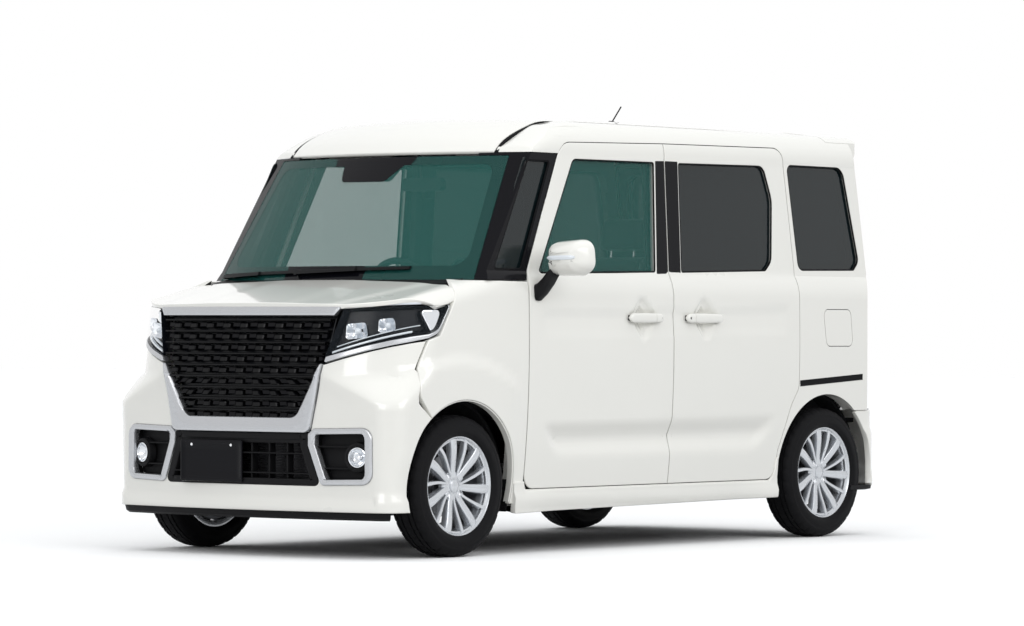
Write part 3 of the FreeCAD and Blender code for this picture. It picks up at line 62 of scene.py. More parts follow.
# ---- outlines in a plane
def arc3(a, b, c, count=16):
    """Points on the circle through three points, from the first to the last."""
    (ax, ay), (bx, by), (cx, cy) = a, b, c
    d = 2 * (ax * (by - cy) + bx * (cy - ay) + cx * (ay - by))
    if abs(d) < 1e-12:
        return [(ax + (cx - ax) * i / count, ay + (cy - ay) * i / count) for i in range(count + 1)]
    ux = ((ax * ax + ay * ay) * (by - cy) + (bx * bx + by * by) * (cy - ay) + (cx * cx + cy * cy)
          * (ay - by)) / d
    uy = ((ax * ax + ay * ay) * (cx - bx) + (bx * bx + by * by) * (ax - cx) + (cx * cx + cy * cy)
          * (bx - ax)) / d
    radius = math.hypot(ax - ux, ay - uy)
    start, end = (math.atan2(y - uy, x - ux) for x, y in (a, c))
    turn = math.copysign(1, (bx - ax) * (cy - by) - (by - ay) * (cx - bx))
    sweep = (end - start) * turn % (2 * math.pi) * turn
    return [(ux + radius * math.cos(start + sweep * i / count),
             uy + radius * math.sin(start + sweep * i / count)) for i in range(count + 1)]


def rounded(corners, step=0.025, arc_steps=5):
    """A closed loop from corners (u, v, radius), with filleted corners and short straight runs."""
    count = len(corners)
    runs = []
    for i, corner in enumerate(corners):
        here = Vector(corner[:2])
        before, after = Vector(corners[i - 1][:2]), Vector(corners[(i + 1) % count][:2])
        radius = corner[2] if len(corner) > 2 else 0.0
        back, ahead = (before - here), (after - here)
        angle = back.angle(ahead)
        if radius <= 0 or angle > math.pi - 0.02:
            runs.append([here])
            continue
        reach = min(radius / math.tan(angle / 2), 0.47 * back.length, 0.47 * ahead.length)
        radius = reach * math.tan(angle / 2)
        centre = here + (back.normalized() + ahead.normalized()).normalized() * (radius / math.sin(angle / 2))
        first, last = here + back.normalized() * reach, here + ahead.normalized() * reach
        start = math.atan2(first.y - centre.y, first.x - centre.x)
        sweep = math.atan2(last.y - centre.y, last.x - centre.x) - start
        sweep = (sweep + math.pi) % (2 * math.pi) - math.pi
        steps = max(arc_steps, int(abs(sweep) * radius / step) + 1)
        runs.append([centre + Vector((math.cos(start + sweep * k / steps), math.sin(start + sweep * k / steps)))
                     * radius for k in range(steps + 1)])
    loop = []
    for i, run in enumerate(runs):
        loop.extend(run)
        gap = runs[(i + 1) % count][0] - run[-1]
        pieces = max(1, int(gap.length / step))
        loop.extend(run[-1] + gap * (k / pieces) for k in range(1, pieces))
    return [tuple(point) for point in loop]


def area_of(loop):
    return 0.5 * sum(loop[i - 1][0] * loop[i][1] - loop[i][0] * loop[i - 1][1] for i in range(len(loop)))


def anticlockwise(loop):
    return loop[::-1] if area_of(loop) < 0 else loop


def between(low, high, count):
    """Even steps from low to high, both included."""
    return [low + (high - low) * i / count for i in range(count + 1)]


def rectangle(low_u, low_v, high_u, high_v, radius):
    return [(low_u, low_v, radius), (high_u, low_v, radius), (high_u, high_v, radius), (low_u, high_v, radius)]


def and_mirrored(corners):
    """Corners on one side, then their mirror images in reverse order."""
    return corners + [(-c[0], *c[1:]) for c in reversed(corners)]


def inset(loop, distance):
    """The loop moved inward by a distance, or outward if it is negative."""
    points = np.array(loop)
    before = points - np.roll(points, 1, 0)
    after = np.roll(points, -1, 0) - points
    before /= np.linalg.norm(before, axis=1)[:, None] + 1e-12
    after /= np.linalg.norm(after, axis=1)[:, None] + 1e-12
    normal = np.stack([-(before + after)[:, 1], (before + after)[:, 0]], 1)
    scale = 2 / np.maximum((normal ** 2).sum(1), 0.35)
    return [tuple(p) for p in points + normal * scale[:, None] * distance * math.copysign(1, area_of(loop))]


def distance_to(loop, points, closed=True):
    """Distance from each point to a polyline."""
    line = np.array(loop)
    start, end = (line, np.roll(line, -1, 0)) if closed else (line[:-1], line[1:])
    run = end - start
    length2 = np.maximum((run ** 2).sum(1), 1e-14)
    offset = points[:, None, :] - start[None]
    t = np.clip((offset * run[None]).sum(2) / length2[None], 0, 1)
    near = offset - t[:, :, None] * run[None]
    return np.sqrt((near ** 2).sum(2)).min(1)


def inside(loop, points):
    """True for each point that lies within a closed loop."""
    line = np.array(loop)
    x0, y0 = line[:, 0], line[:, 1]
    x1, y1 = np.roll(x0, -1), np.roll(y0, -1)
    px, py = points[:, 0][:, None], points[:, 1][:, None]
    crosses = (y0[None] > py) != (y1[None] > py)
    slope = (x1 - x0) / np.where(np.abs(y1 - y0) < 1e-15, 1e-15, y1 - y0)
    hit = px < slope[None] * (py - y0[None]) + x0[None]
    return (crosses & hit).sum(1) % 2 == 1


def circle(count):
    """Cosine and sine of evenly spaced angles."""
    return [(math.cos(2 * math.pi * k / count), math.sin(2 * math.pi * k / count)) for k in range(count)]


def squared(c, power):
    """A cosine or sine bent so that its circle becomes a rounded square."""
    return math.copysign(abs(c) ** power, c)


def smooth(t):
    t = np.clip(t, 0, 1)
    return t * t * (3 - 2 * t)


# ---- mesh helpers
def new_object(name, verts, faces, material, body, replaces=(), sharp=35):
    """A mesh object in the row frame that rides on a body."""
    mesh = bpy.data.meshes.new(name)
    mesh.from_pydata([tuple(v) for v in verts], [], faces)
    mesh.validate()
    obj = bpy.data.objects.new(name, mesh)
    bpy.context.scene.collection.objects.link(obj)
    return dress(obj, material, body, replaces, sharp)


def dress(obj, material, body, replaces=(), sharp=35):
    """Gives a piece its material, its smooth faces and the body it rides on."""
    obj.data.materials.clear()
    obj.data.materials.append(material)
    for polygon in obj.data.polygons:
        polygon.use_smooth = True
    if sharp:
        obj.data.set_sharp_from_angle(angle=math.radians(sharp))
    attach(obj, body)
    if replaces:
        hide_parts(*replaces)
    return obj


def mirror_points(verts):
    return [(v[0], -v[1], v[2]) for v in verts]


class Shape:
    """Vertices and faces that several makers add to before it becomes one mesh."""

    def __init__(self):
        self.verts, self.faces = [], []

    def add(self, verts, faces):
        base = len(self.verts)
        self.verts.extend(tuple(v) for v in verts)
        self.faces.extend([tuple(i + base for i in face) for face in faces])
        return self

    def mirrored(self):
        twin = Shape()
        twin.verts = mirror_points(self.verts)
        twin.faces = [tuple(reversed(face)) for face in self.faces]
        return twin

    def turned(self, matrix):
        twin = Shape()
        twin.verts = [tuple(matrix @ Vector(v)) for v in self.verts]
        twin.faces = [face if matrix.determinant() > 0 else tuple(reversed(face)) for face in self.faces]
        return twin

    def join(self, other):
        return self.add(other.verts, other.faces)

    def make(self, name, material, slot, replaces=(), body="car_body", sharp=35):
        return new_object(name, self.verts, self.faces, material, body, replaces, sharp)


def both_sides(shape, name, material, slot, replaces=(), bodies="car_body", sharp=35):
    """A left piece and its mirrored right twin. bodies and replaces are (left, right) pairs or shared."""
    left_body, right_body = bodies if isinstance(bodies, tuple) else (bodies, bodies)
    left_nodes, right_nodes = replaces if isinstance(replaces, tuple) and replaces else (replaces, ())
    return [shape.make(name + "_left", material, slot, left_nodes, left_body, sharp),
            shape.mirrored().make(name + "_right", material, slot, right_nodes, right_body, sharp)]


def lathe(profile, centre=(0, 0, 0), axis="Y", steps=64, closed=False):
    """Turns a profile of (radius, along) round an axis through a centre."""
    count = len(profile)
    verts = []
    for c, s in circle(steps):
        for radius, along in profile:
            point = (radius * c, along, radius * s) if axis == "Y" else (along, radius * c, radius * s)
            verts.append((centre[0] + point[0], centre[1] + point[1], centre[2] + point[2]))
    faces = []
    for k in range(steps):
        here, there = k * count, (k + 1) % steps * count
        for i in range(count if closed else count - 1):
            j = (i + 1) % count
            faces.append((here + i, here + j, there + j, there + i))
    return Shape().add(verts, faces)


def grid_faces(rows, columns, wrap=False):
    """Quads between rows of points; wrap also joins each row's ends."""
    faces = []
    for r in range(rows - 1):
        for c in range(columns if wrap else columns - 1):
            d = (c + 1) % columns
            faces.append((r * columns + c, r * columns + d, (r + 1) * columns + d, (r + 1) * columns + c))
    return faces


def skin(sections, wrap=True, cap=True):
    """A shape through a row of sections with equal point counts."""
    columns = len(sections[0])
    verts = [point for section in sections for point in section]
    faces = grid_faces(len(sections), columns, wrap)
    if cap and wrap:
        faces.append(tuple(reversed(range(columns))))
        faces.append(tuple((len(sections) - 1) * columns + i for i in range(columns)))
    return Shape().add(verts, faces)


def tube(path, radius, sides=10, radii=None):
    """A round bar along a path of points."""
    points = [Vector(p) for p in path]
    sections = []
    side = None
    for i, point in enumerate(points):
        ahead = (points[min(i + 1, len(points) - 1)] - points[max(i - 1, 0)]).normalized()
        if side is None:
            side = ahead.orthogonal().normalized()
        side = (side - ahead * side.dot(ahead)).normalized()
        up = ahead.cross(side)
        r = radii[i] if radii else radius
        sections.append([point + (side * c + up * s) * r for c, s in circle(sides)])
    return skin(sections)


def ribbon(loop, *surfaces):
    """A closed band that follows a loop and reaches from surface to surface."""
    sections = [[surface(u, v) for surface in surfaces] for u, v in loop]
    return skin(sections + sections[:1], wrap=False)


def rounded_box(low, high, radius=0.006, segments=3):
    """A box with rolled edges."""
    bm = bmesh.new()
    bmesh.ops.create_cube(bm, size=1)
    low, high = Vector(low), Vector(high)
    for vert in bm.verts:
        vert.co = Vector(((low[i] + high[i]) / 2 + vert.co[i] * (high[i] - low[i]) for i in range(3)))
    bmesh.ops.bevel(bm, geom=bm.edges[:], offset=radius, segments=segments, affect="EDGES", profile=0.5)
    bm.verts.index_update()
    shape = Shape().add([v.co[:] for v in bm.verts], [tuple(v.index for v in f.verts) for f in bm.faces])
    bm.free()
    return shape


HEM = ((0.0, 0.0030), (0.0009, 0.0011), (0.0030, 0.0), (0.0065, 0.0))   # columns: inset, depth


def panel_mesh(outline, holes, pressed, step, hem):
    """Flat points and faces that fill an outline, with rows of points along its hems and pressings."""
    loops = [outline, *holes]
    points, edges = [], []

    def line(loop):
        base = len(points)
        points.extend(Vector(p) for p in loop)
        edges.extend((base + i, base + (i + 1) % len(loop)) for i in range(len(loop)))

    for index, loop in enumerate(loops):
        toward = 1 if index == 0 else -1
        for distance, _ in HEM:
            line(inset(loop, distance * hem * toward) if distance else loop)
    for loop, _, width in pressed:
        for shift in (-0.5, 0.0, 0.5):
            line(inset(loop, shift * width))
    flat = np.array(outline)
    low, high = flat.min(0), flat.max(0)
    us, vs = (np.linspace(low[k], high[k], max(2, int((high[k] - low[k]) / step)))[1:-1] for k in (0, 1))
    grid = np.array([(u, v) for u in us for v in vs]).reshape(-1, 2)
    keep = inside(outline, grid)
    for loop in loops:
        keep &= distance_to(loop, grid) > 0.012 * hem
    for loop in holes:
        keep &= ~inside(loop, grid)
    for loop, _, width in pressed:
        keep &= distance_to(loop, grid) > width * 0.5 + 0.006
    points.extend(Vector(p) for p in grid[keep])
    verts, _, faces, _, _, _ = delaunay_2d_cdt(points, edges, [], 0, 1e-6)
    flat = np.array([tuple(v) for v in verts])
    centres = np.array([flat[list(face)].mean(0) for face in faces])
    solid = inside(outline, centres)
    for loop in holes:
        solid &= ~inside(loop, centres)
    faces = [tuple(face) for face, ok in zip(faces, solid) if ok]
    used = sorted({i for face in faces for i in face})
    place = {old: new for new, old in enumerate(used)}
    return flat[used], [tuple(place[i] for i in face) for face in faces]


def surface_normals(surface, flat, out):
    """Unit normals at flat points, all turned to the side of out, and whether they had to be turned."""
    reach = 0.0015
    normals, sign = [], 0.0
    for u, v in flat:
        du = surface(u + reach, v) - surface(u - reach, v)
        dv = surface(u, v + reach) - surface(u, v - reach)
        normals.append(du.cross(dv).normalized())
        sign += normals[-1].dot(out)
    return [-n if sign < 0 else n for n in normals], sign < 0


def return_edges(shape, lower):
    """Walls from a panel's free edges to the points that lower gives for them."""
    sides = dict.fromkeys((face[i - 1], face[i]) for face in shape.faces for i in [*range(1, len(face)), 0])
    rim = [(a, b) for a, b in sides if (b, a) not in sides]
    lowered = {}
    for i in (i for side in rim for i in side):
        if i not in lowered:
            lowered[i] = len(shape.verts)
            shape.verts.append(tuple(lower(i)))
    shape.faces.extend((b, a, lowered[a], lowered[b]) for a, b in rim)


def panel(outline, surface, out, holes=(), pressed=(), back=0.02, step=0.028, hem=1.0, bulge=None, sheet=True):
    """A pressed panel: a surface over an outline, with rolled hems, pressed areas and return edges.

    pressed columns: loop, depth, width of its sloping edge. bulge(points) adds height anywhere.
    """
    flat, faces = panel_mesh(outline, holes, pressed, step, hem)
    edge_distance = np.min([distance_to(loop, flat) for loop in [outline, *holes]], axis=0) / hem
    depth = np.interp(edge_distance, [h[0] for h in HEM], [h[1] for h in HEM]) * hem
    for loop, amount, width in pressed:
        signed = distance_to(loop, flat) * np.where(inside(loop, flat), 1, -1)
        depth += amount * smooth(signed / width + 0.5)
    if bulge is not None:
        depth -= bulge(flat)
    base = [surface(u, v) for u, v in flat]
    normals, flipped = surface_normals(surface, flat, Vector(out))
    faces = [tuple(reversed(f)) if flipped else f for f in faces]
    shape = Shape().add([p - n * d for p, n, d in zip(base, normals, depth)], faces)

    def lower(i):
        return base[i] - normals[i] * max(back, depth[i] + 0.0005)

    if back:
        return_edges(shape, lower)
    if not sheet:
        shape.add([lower(i) for i in range(len(base))], [tuple(reversed(face)) for face in faces])
    return shape


# ---- outer surfaces
def side_profile():
    """Height and half width of the body's section, from the sill to the roof's edge."""
    low = arc3((0.250, HALF - 0.034), (0.575, HALF - 0.006), (0.900, HALF))
    shoulder = arc3((1.030, HALF - 0.0015), (1.093, HALF - 0.014), (BELT, HALF - 0.031))
    rail = arc3((HEADER, HALF - 0.055), (ROOF - 0.068, HALF - 0.098), (ROOF - 0.040, HALF - 0.180))
    return np.array([(0.12, HALF - 0.05)] + low + shoulder + rail)


SIDE = side_profile()


def side_y(z):
    return float(np.interp(z, SIDE[:, 0], SIDE[:, 1]))


def side_surface(depth=0.0):
    """Left side as a function of (x, z), set in by a depth."""
    return lambda x, z: Vector((x, side_y(z) - depth, z))


SQUARE = dict(face=0.509, corner=(0.450, 0.650), turn=(0.422, 0.706), edge=(0.350, HALF))
ROUND = dict(face=0.511, corner=(0.492, 0.421), turn=(0.393, 0.617), edge=(0.208, HALF - 0.002))


def plan_table(face, corner, turn, edge):
    """Front end's plan on the left as rows of (s, reach, y).

    s is 0 at the centre and 1 and 2 at the corner's ends.
    """
    bow = arc3((corner[0], -corner[1]), (face, 0), corner, 32)[16:]
    bend = arc3(corner, turn, edge, 24)[1:]
    rows = [(i / 16, x, y) for i, (x, y) in enumerate(bow)]
    rows += [(1 + (i + 1) / 24, x, y) for i, (x, y) in enumerate(bend)]
    rows.append((4.0, edge[0] - 1.0, edge[1]))
    return np.array(rows)


PLAN_SQUARE, PLAN_ROUND = plan_table(**SQUARE), plan_table(**ROUND)


def clip_rows(z):
    """The front end's plan at a height: rows of (s, x, y)."""
    blend = float(np.clip((z - 0.602) / 0.110, 0, 1))
    rows = PLAN_SQUARE * (1 - blend) + PLAN_ROUND * blend
    rows[:, 1] += FRONT - 0.15 * max(z - 0.712, 0)
    return rows


def clip_point(s, z, depth=0.0):
    """Point on the front end; s runs from the centre round the corner, negative to the right."""
    rows = clip_rows(z)
    x = float(np.interp(abs(s), rows[:, 0], rows[:, 1]))
    y = float(np.interp(abs(s), rows[:, 0], rows[:, 2]))
    if depth:
        ahead, behind = abs(s) + 0.01, abs(s) - 0.01
        dx = np.interp(ahead, rows[:, 0], rows[:, 1]) - np.interp(behind, rows[:, 0], rows[:, 1])
        dy = np.interp(ahead, rows[:, 0], rows[:, 2]) - np.interp(behind, rows[:, 0], rows[:, 2])
        if abs(s) < 0.02:
            dx, dy = 0.0, 1.0
        length = math.hypot(dx, dy)
        x, y = x - dy / length * depth, y + dx / length * depth
    return Vector((x, math.copysign(y, s) if s else 0.0, z))


S_SCALE = 0.45


def front_surface(depth=0.0):
    """Front end as a function of (u, z), where u is about a length along the plan."""
    return lambda u, z: clip_point(u / S_SCALE, z, depth)


def from_front(y, z):
    """(u, z) of the front end's point seen from ahead at (y, z)."""
    rows = clip_rows(z)
    return (math.copysign(float(np.interp(abs(y), rows[:, 2], rows[:, 0])), y) * S_SCALE, z)


def from_side(x, z):
    """(u, z) of the front end's point seen from the left at (x, z)."""
    rows = clip_rows(z)
    return (float(np.interp(-x, -rows[:, 1], rows[:, 0])) * S_SCALE, z)


SHOULDER = (HALF - 0.097, 1.073)
WING_EDGE = arc3(SHOULDER, (HALF - 0.030, 1.053), (HALF - 0.002, 1.013), 16)
CROWN = np.array(arc3((-SHOULDER[0], SHOULDER[1]), (0, 1.089), SHOULDER, 40)[20:] + WING_EDGE[1:])
WING_TABLE = np.array(sorted((b, a) for a, b in WING_EDGE))


def crown_z(x, y, depth=0.0):
    """Height of the bonnet's surface."""
    z = float(np.interp(abs(y), CROWN[:, 0], CROWN[:, 1]))
    return z - depth - 0.215 * (x - FRONT - 0.024)


def bonnet_surface(depth=0.0):
    return lambda x, y: Vector((x, y, crown_z(x, y, depth)))


def fender_y(x, z):
    """Half width where the side, the front corner and the bonnet's shoulder meet."""
    y = side_y(z)
    rows = clip_rows(z)
    if x > rows[-2, 1]:
        y = min(y, float(np.interp(-x, -rows[:, 1], rows[:, 2])))
    lift = z + 0.215 * (x - FRONT - 0.024)
    if lift > 1.013:
        y = min(y, float(np.interp(lift, WING_TABLE[:, 0], WING_TABLE[:, 1])))
    return y


def screen_x(y, z, depth=0.0):
    """The windscreen's reach at (y, z)."""
    return FRONT + 0.025 - 0.676 * (z - COWL) - 0.343 * y * y - depth * 1.2


def screen_surface(depth=0.0):
    return lambda y, z: Vector((screen_x(y, z, depth), y, z))


def tail_rows():
    reach = -TAIL - 0.038
    half = HALF + 0.030
    face = arc3((-reach + 0.018, half - 0.160), (-reach, 0), (-reach + 0.018, 0.160 - half), 32)[:17][::-1]
    bend = arc3((-reach + 0.018, half - 0.160), (-reach + 0.062, half - 0.052), (-reach + 0.190, half), 24)[1:]
    return np.array([(y, x) for x, y in face + bend])


TAIL_ROWS = tail_rows()


def tail_x(y, z, depth=0.0):
    """The rear face's reach at (y, z): upright to the belt, then leaning in."""
    return float(np.interp(abs(y), TAIL_ROWS[:, 0], TAIL_ROWS[:, 1])) + 0.16 * max(z - BELT - 0.025, 0) + depth


def tail_surface(depth=0.0):
    return lambda y, z: Vector((tail_x(y, z, depth), y, z))


# ---- shared effects
def effect(name, inputs, outputs):
    """A node group with named sockets. Columns of inputs: name, kind, value."""
    group = bpy.data.node_groups.new(name, "ShaderNodeTree")
    for title, kind, value in inputs:
        socket = group.interface.new_socket(name=title, in_out="INPUT", socket_type=kind)
        if value is not None:
            socket.default_value = value
    for title, kind in outputs:
        group.interface.new_socket(name=title, in_out="OUTPUT", socket_type=kind)
    source = group.nodes.new("NodeGroupInput")
    result = group.nodes.new("NodeGroupOutput")
    return group, source, result


def add(tree, kind, links=(), **values):
    """A node whose inputs are joined or set. Columns of links: input, output socket or plain value."""
    node = tree.nodes.new(kind)
    for key, value in values.items():
        if hasattr(node, key):
            setattr(node, key, value)
        else:
            node.inputs[key.replace("_", " ").title()].default_value = value
    for target, origin in links:
        if isinstance(origin, bpy.types.NodeSocket):
            tree.links.new(origin, node.inputs[target])
        else:
            node.inputs[target].default_value = origin
    return node


FLOAT, COLOUR = "NodeSocketFloat", "NodeSocketColor"


def tone_effect():
    """Soft colour and gloss changes over a surface."""
    group, source, result = effect("soft_tone", [
        ("Colour", COLOUR, (0.8, 0.8, 0.8, 1)), ("Spread", FLOAT, 0.04), ("Size", FLOAT, 6.0),
        ("Roughness", FLOAT, 0.3), ("Gloss Spread", FLOAT, 0.05)], [("Colour", COLOUR), ("Roughness", FLOAT)])
    place = add(group, "ShaderNodeTexCoord")
    noise = add(group, "ShaderNodeTexNoise",
                [("Vector", place.outputs["Object"]), ("Scale", source.outputs["Size"])], detail=3.0)
    centred = add(group, "ShaderNodeMath", [(0, noise.outputs["Fac"]), (1, 0.5)], operation="SUBTRACT")
    lighten = add(group, "ShaderNodeMath", [(0, centred.outputs[0]), (1, source.outputs["Spread"])],
                  operation="MULTIPLY")
    level = add(group, "ShaderNodeMath", [(0, lighten.outputs[0]), (1, 1.0)], operation="ADD")
    shade = add(group, "ShaderNodeVectorMath", [(0, source.outputs["Colour"]), ("Scale", level.outputs[0])],
                operation="SCALE")
    rough = add(group, "ShaderNodeMath", [(0, centred.outputs[0]), (1, source.outputs["Gloss Spread"]),
                                          (2, source.outputs["Roughness"])], operation="MULTIPLY_ADD")
    group.links.new(shade.outputs[0], result.inputs["Colour"])
    group.links.new(rough.outputs[0], result.inputs["Roughness"])
    return group


def grain_effect():
    """Height of a moulded grain."""
    group, source, result = effect("moulded_grain", [("Size", FLOAT, 700.0), ("Depth", FLOAT, 1.0)],
                                   [("Height", FLOAT), ("Mask", FLOAT)])
    place = add(group, "ShaderNodeTexCoord")
    cells = add(group, "ShaderNodeTexVoronoi",
                [("Vector", place.outputs["Object"]), ("Scale", source.outputs["Size"])])
    height = add(group, "ShaderNodeMath", [(0, cells.outputs["Distance"]), (1, source.outputs["Depth"])],
                 operation="MULTIPLY")
    group.links.new(height.outputs[0], result.inputs["Height"])
    group.links.new(cells.outputs["Distance"], result.inputs["Mask"])
    return group


def weave_effect():
    """Colour mask and height of a woven cloth."""
    group, source, result = effect("woven_cloth", [("Size", FLOAT, 420.0)],
                                   [("Height", FLOAT), ("Mask", FLOAT)])
    place = add(group, "ShaderNodeTexCoord")
    waves = []
    for direction in ("X", "Y", "Z"):
        waves.append(add(group, "ShaderNodeTexWave",
                         [("Vector", place.outputs["Object"]), ("Scale", source.outputs["Size"])],
                         bands_direction=direction, distortion=0.6))
    first = add(group, "ShaderNodeMath", [(0, waves[0].outputs["Fac"]), (1, waves[1].outputs["Fac"])],
                operation="MULTIPLY")
    second = add(group, "ShaderNodeMath", [(0, first.outputs[0]), (1, waves[2].outputs["Fac"])],
                 operation="MAXIMUM")
    noise = add(group, "ShaderNodeTexNoise", [("Vector", place.outputs["Object"])], scale=90.0, detail=4.0)
    mask = add(group, "ShaderNodeMath", [(0, second.outputs[0]), (1, noise.outputs["Fac"])],
               operation="MULTIPLY")
    group.links.new(second.outputs[0], result.inputs["Height"])
    group.links.new(mask.outputs[0], result.inputs["Mask"])
    return group


TONE, GRAIN, WEAVE = tone_effect(), grain_effect(), weave_effect()


def finish_of(name, colour, roughness, spread=0.03, size=5.0, gloss_spread=0.05, bump=None, **sockets):
    """A surface finish. bump columns: effect group, size, strength, distance."""
    material = bpy.data.materials.new(name)
    material.use_nodes = True
    tree = material.node_tree
    shader = tree.nodes["Principled BSDF"]
    tone = tree.nodes.new("ShaderNodeGroup")
    tone.node_tree = TONE
    for title, value in (("Colour", (*colour, 1)), ("Spread", spread), ("Size", size), ("Roughness", roughness),
                         ("Gloss Spread", gloss_spread)):
        tone.inputs[title].default_value = value
    tree.links.new(tone.outputs["Colour"], shader.inputs["Base Color"])
    tree.links.new(tone.outputs["Roughness"], shader.inputs["Roughness"])
    for title, value in sockets.items():
        shader.inputs[title.replace("_", " ")].default_value = value
    if bump:
        group, scale, strength, distance = bump
        relief = tree.nodes.new("ShaderNodeGroup")
        relief.node_tree = group
        relief.inputs["Size"].default_value = scale
        node = add(tree, "ShaderNodeBump", [("Height", relief.outputs["Height"]), ("Strength", strength),
                                            ("Distance", distance)])
        tree.links.new(node.outputs["Normal"], shader.inputs["Normal"])
    material.diffuse_color = (*colour, 1)
    return material


def glass_of(name, colour, alpha, roughness=0.02):
    """Thin tinted glass: see-through by its alpha, with a clear reflection."""
    material = finish_of(name, colour, roughness, spread=0.0, gloss_spread=0.01)
    shader = material.node_tree.nodes["Principled BSDF"]
    shader.inputs["Alpha"].default_value = alpha
    shader.inputs["Specular IOR Level"].default_value = 0.42
    material.surface_render_method = "BLENDED"
    return material


PAINT = finish_of("pearl_white_paint", (0.84, 0.835, 0.79), 0.28, spread=0.02, size=3.0, gloss_spread=0.03,
                  Metallic=0.0, Coat_Weight=1.0, Coat_Roughness=0.03, Coat_IOR=1.5)
# a darker copy of the white paint, with a thinner coat, for the door and tailgate edges inside the shut lines:
# its darker colour is painted shade
PAINT_INSIDE_SHADED = finish_of("pearl_white_painted_shade", (0.74, 0.735, 0.70), 0.4, spread=0.03, Coat_Weight=0.3)
UNDERSEAL = finish_of("matte_underseal", (0.012, 0.012, 0.013), 0.8, spread=0.3, size=20,
                      bump=(GRAIN, 160, 0.5, 0.002), Specular_IOR_Level=0.12)
TRIM = finish_of("grained_black_plastic", (0.009, 0.009, 0.010), 0.5, spread=0.1, size=10,
                 bump=(GRAIN, 900, 0.25, 0.0006), Specular_IOR_Level=0.10)
GLOSS = finish_of("gloss_black_plastic", (0.004, 0.004, 0.006), 0.10, spread=0.05, gloss_spread=0.02,
                  Specular_IOR_Level=0.12)
SMOKE = finish_of("dark_grille_plastic", (0.004, 0.004, 0.005), 0.16, spread=0.1, gloss_spread=0.02,
                  Specular_IOR_Level=0.16)
SATIN = finish_of("satin_bright_trim", (0.50, 0.51, 0.53), 0.26, spread=0.03, size=8, Metallic=0.85)
CHROME = finish_of("polished_bright_trim", (0.82, 0.83, 0.85), 0.08, spread=0.01, Metallic=1.0)
ALLOY = finish_of("silver_alloy_paint", (0.56, 0.58, 0.61), 0.25, spread=0.04, size=14, Metallic=0.72,
                  Coat_Weight=0.8, Coat_Roughness=0.06)
# painted shade: a dark copy of the silver alloy for the barrel lining and the front brake's ring behind the
# spokes
ALLOY_BACK_SHADED = finish_of("alloy_back_painted_shade", (0.16, 0.165, 0.18), 0.4, spread=0.1, Metallic=0.7)
RUBBER = finish_of("tyre_rubber", (0.008, 0.008, 0.009), 0.62, spread=0.25, size=18,
                   bump=(GRAIN, 420, 0.25, 0.0008), Specular_IOR_Level=0.08)
SEAL = finish_of("soft_black_seal", (0.006, 0.006, 0.007), 0.7, spread=0.1, Specular_IOR_Level=0.10)
STEEL = finish_of("black_chassis_steel", (0.045, 0.046, 0.05), 0.45, spread=0.2, size=25, Metallic=0.4)
DISC_STEEL = finish_of("ground_disc_steel", (0.42, 0.42, 0.43), 0.32, spread=0.1, size=30, Metallic=1.0)
CASTING = finish_of("cast_metal", (0.22, 0.22, 0.225), 0.5, spread=0.2, size=30, Metallic=0.8,
                    bump=(GRAIN, 300, 0.3, 0.001))
CLOTH = finish_of("dark_woven_cloth", (0.045, 0.045, 0.05), 0.9, spread=0.2, size=12,
                  bump=(WEAVE, 420, 0.5, 0.0008), Sheen_Weight=0.4, Sheen_Roughness=0.5)
DASH = finish_of("grained_dash_plastic", (0.04, 0.04, 0.044), 0.55, spread=0.1, bump=(GRAIN, 700, 0.3, 0.0008))
DASH_LIGHT = finish_of("silver_dash_trim", (0.3, 0.3, 0.31), 0.35, spread=0.05, Metallic=0.4)
LINING = finish_of("headlining_cloth", (0.48, 0.47, 0.45), 0.9, spread=0.05, bump=(WEAVE, 260, 0.3, 0.0005))
DOOR_TRIM = finish_of("door_trim_plastic", (0.07, 0.068, 0.07), 0.6, spread=0.08,
                      bump=(GRAIN, 700, 0.3, 0.0008))
TANK = finish_of("moulded_tank_plastic", (0.03, 0.03, 0.032), 0.6, spread=0.1)
RED_LENS = finish_of("red_lamp_cover", (0.30, 0.003, 0.005), 0.16, spread=0.03, Specular_IOR_Level=0.22,
                     Coat_Weight=0.25, Coat_Roughness=0.02)
AMBER = finish_of("amber_lamp_cover", (0.75, 0.22, 0.02), 0.15, spread=0.03, Coat_Weight=1.0)
REFLECTOR = finish_of("lamp_reflector", (0.75, 0.77, 0.8), 0.1, spread=0.02, Metallic=1.0)
LAMP_DARK = finish_of("lamp_inner_black", (0.006, 0.007, 0.010), 0.25, spread=0.05, Specular_IOR_Level=0.2)
LIGHT_GUIDE = finish_of("lamp_light_guide", (0.75, 0.8, 0.85), 0.15, spread=0.02, Coat_Weight=1.0)
MIRROR = finish_of("mirror_glass", (0.9, 0.9, 0.92), 0.02, spread=0.0, Metallic=1.0)
CORE = finish_of("radiator_core", (0.05, 0.05, 0.055), 0.5, spread=0.2, size=60, Metallic=0.5)
CLEAR_GLASS = glass_of("light_green_glass", (0.020, 0.150, 0.130), 0.34)
PRIVACY_GLASS = glass_of("dark_privacy_glass", (0.006, 0.012, 0.014), 0.84)
LENS = glass_of("clear_lamp_cover", (0.30, 0.36, 0.40), 0.03)

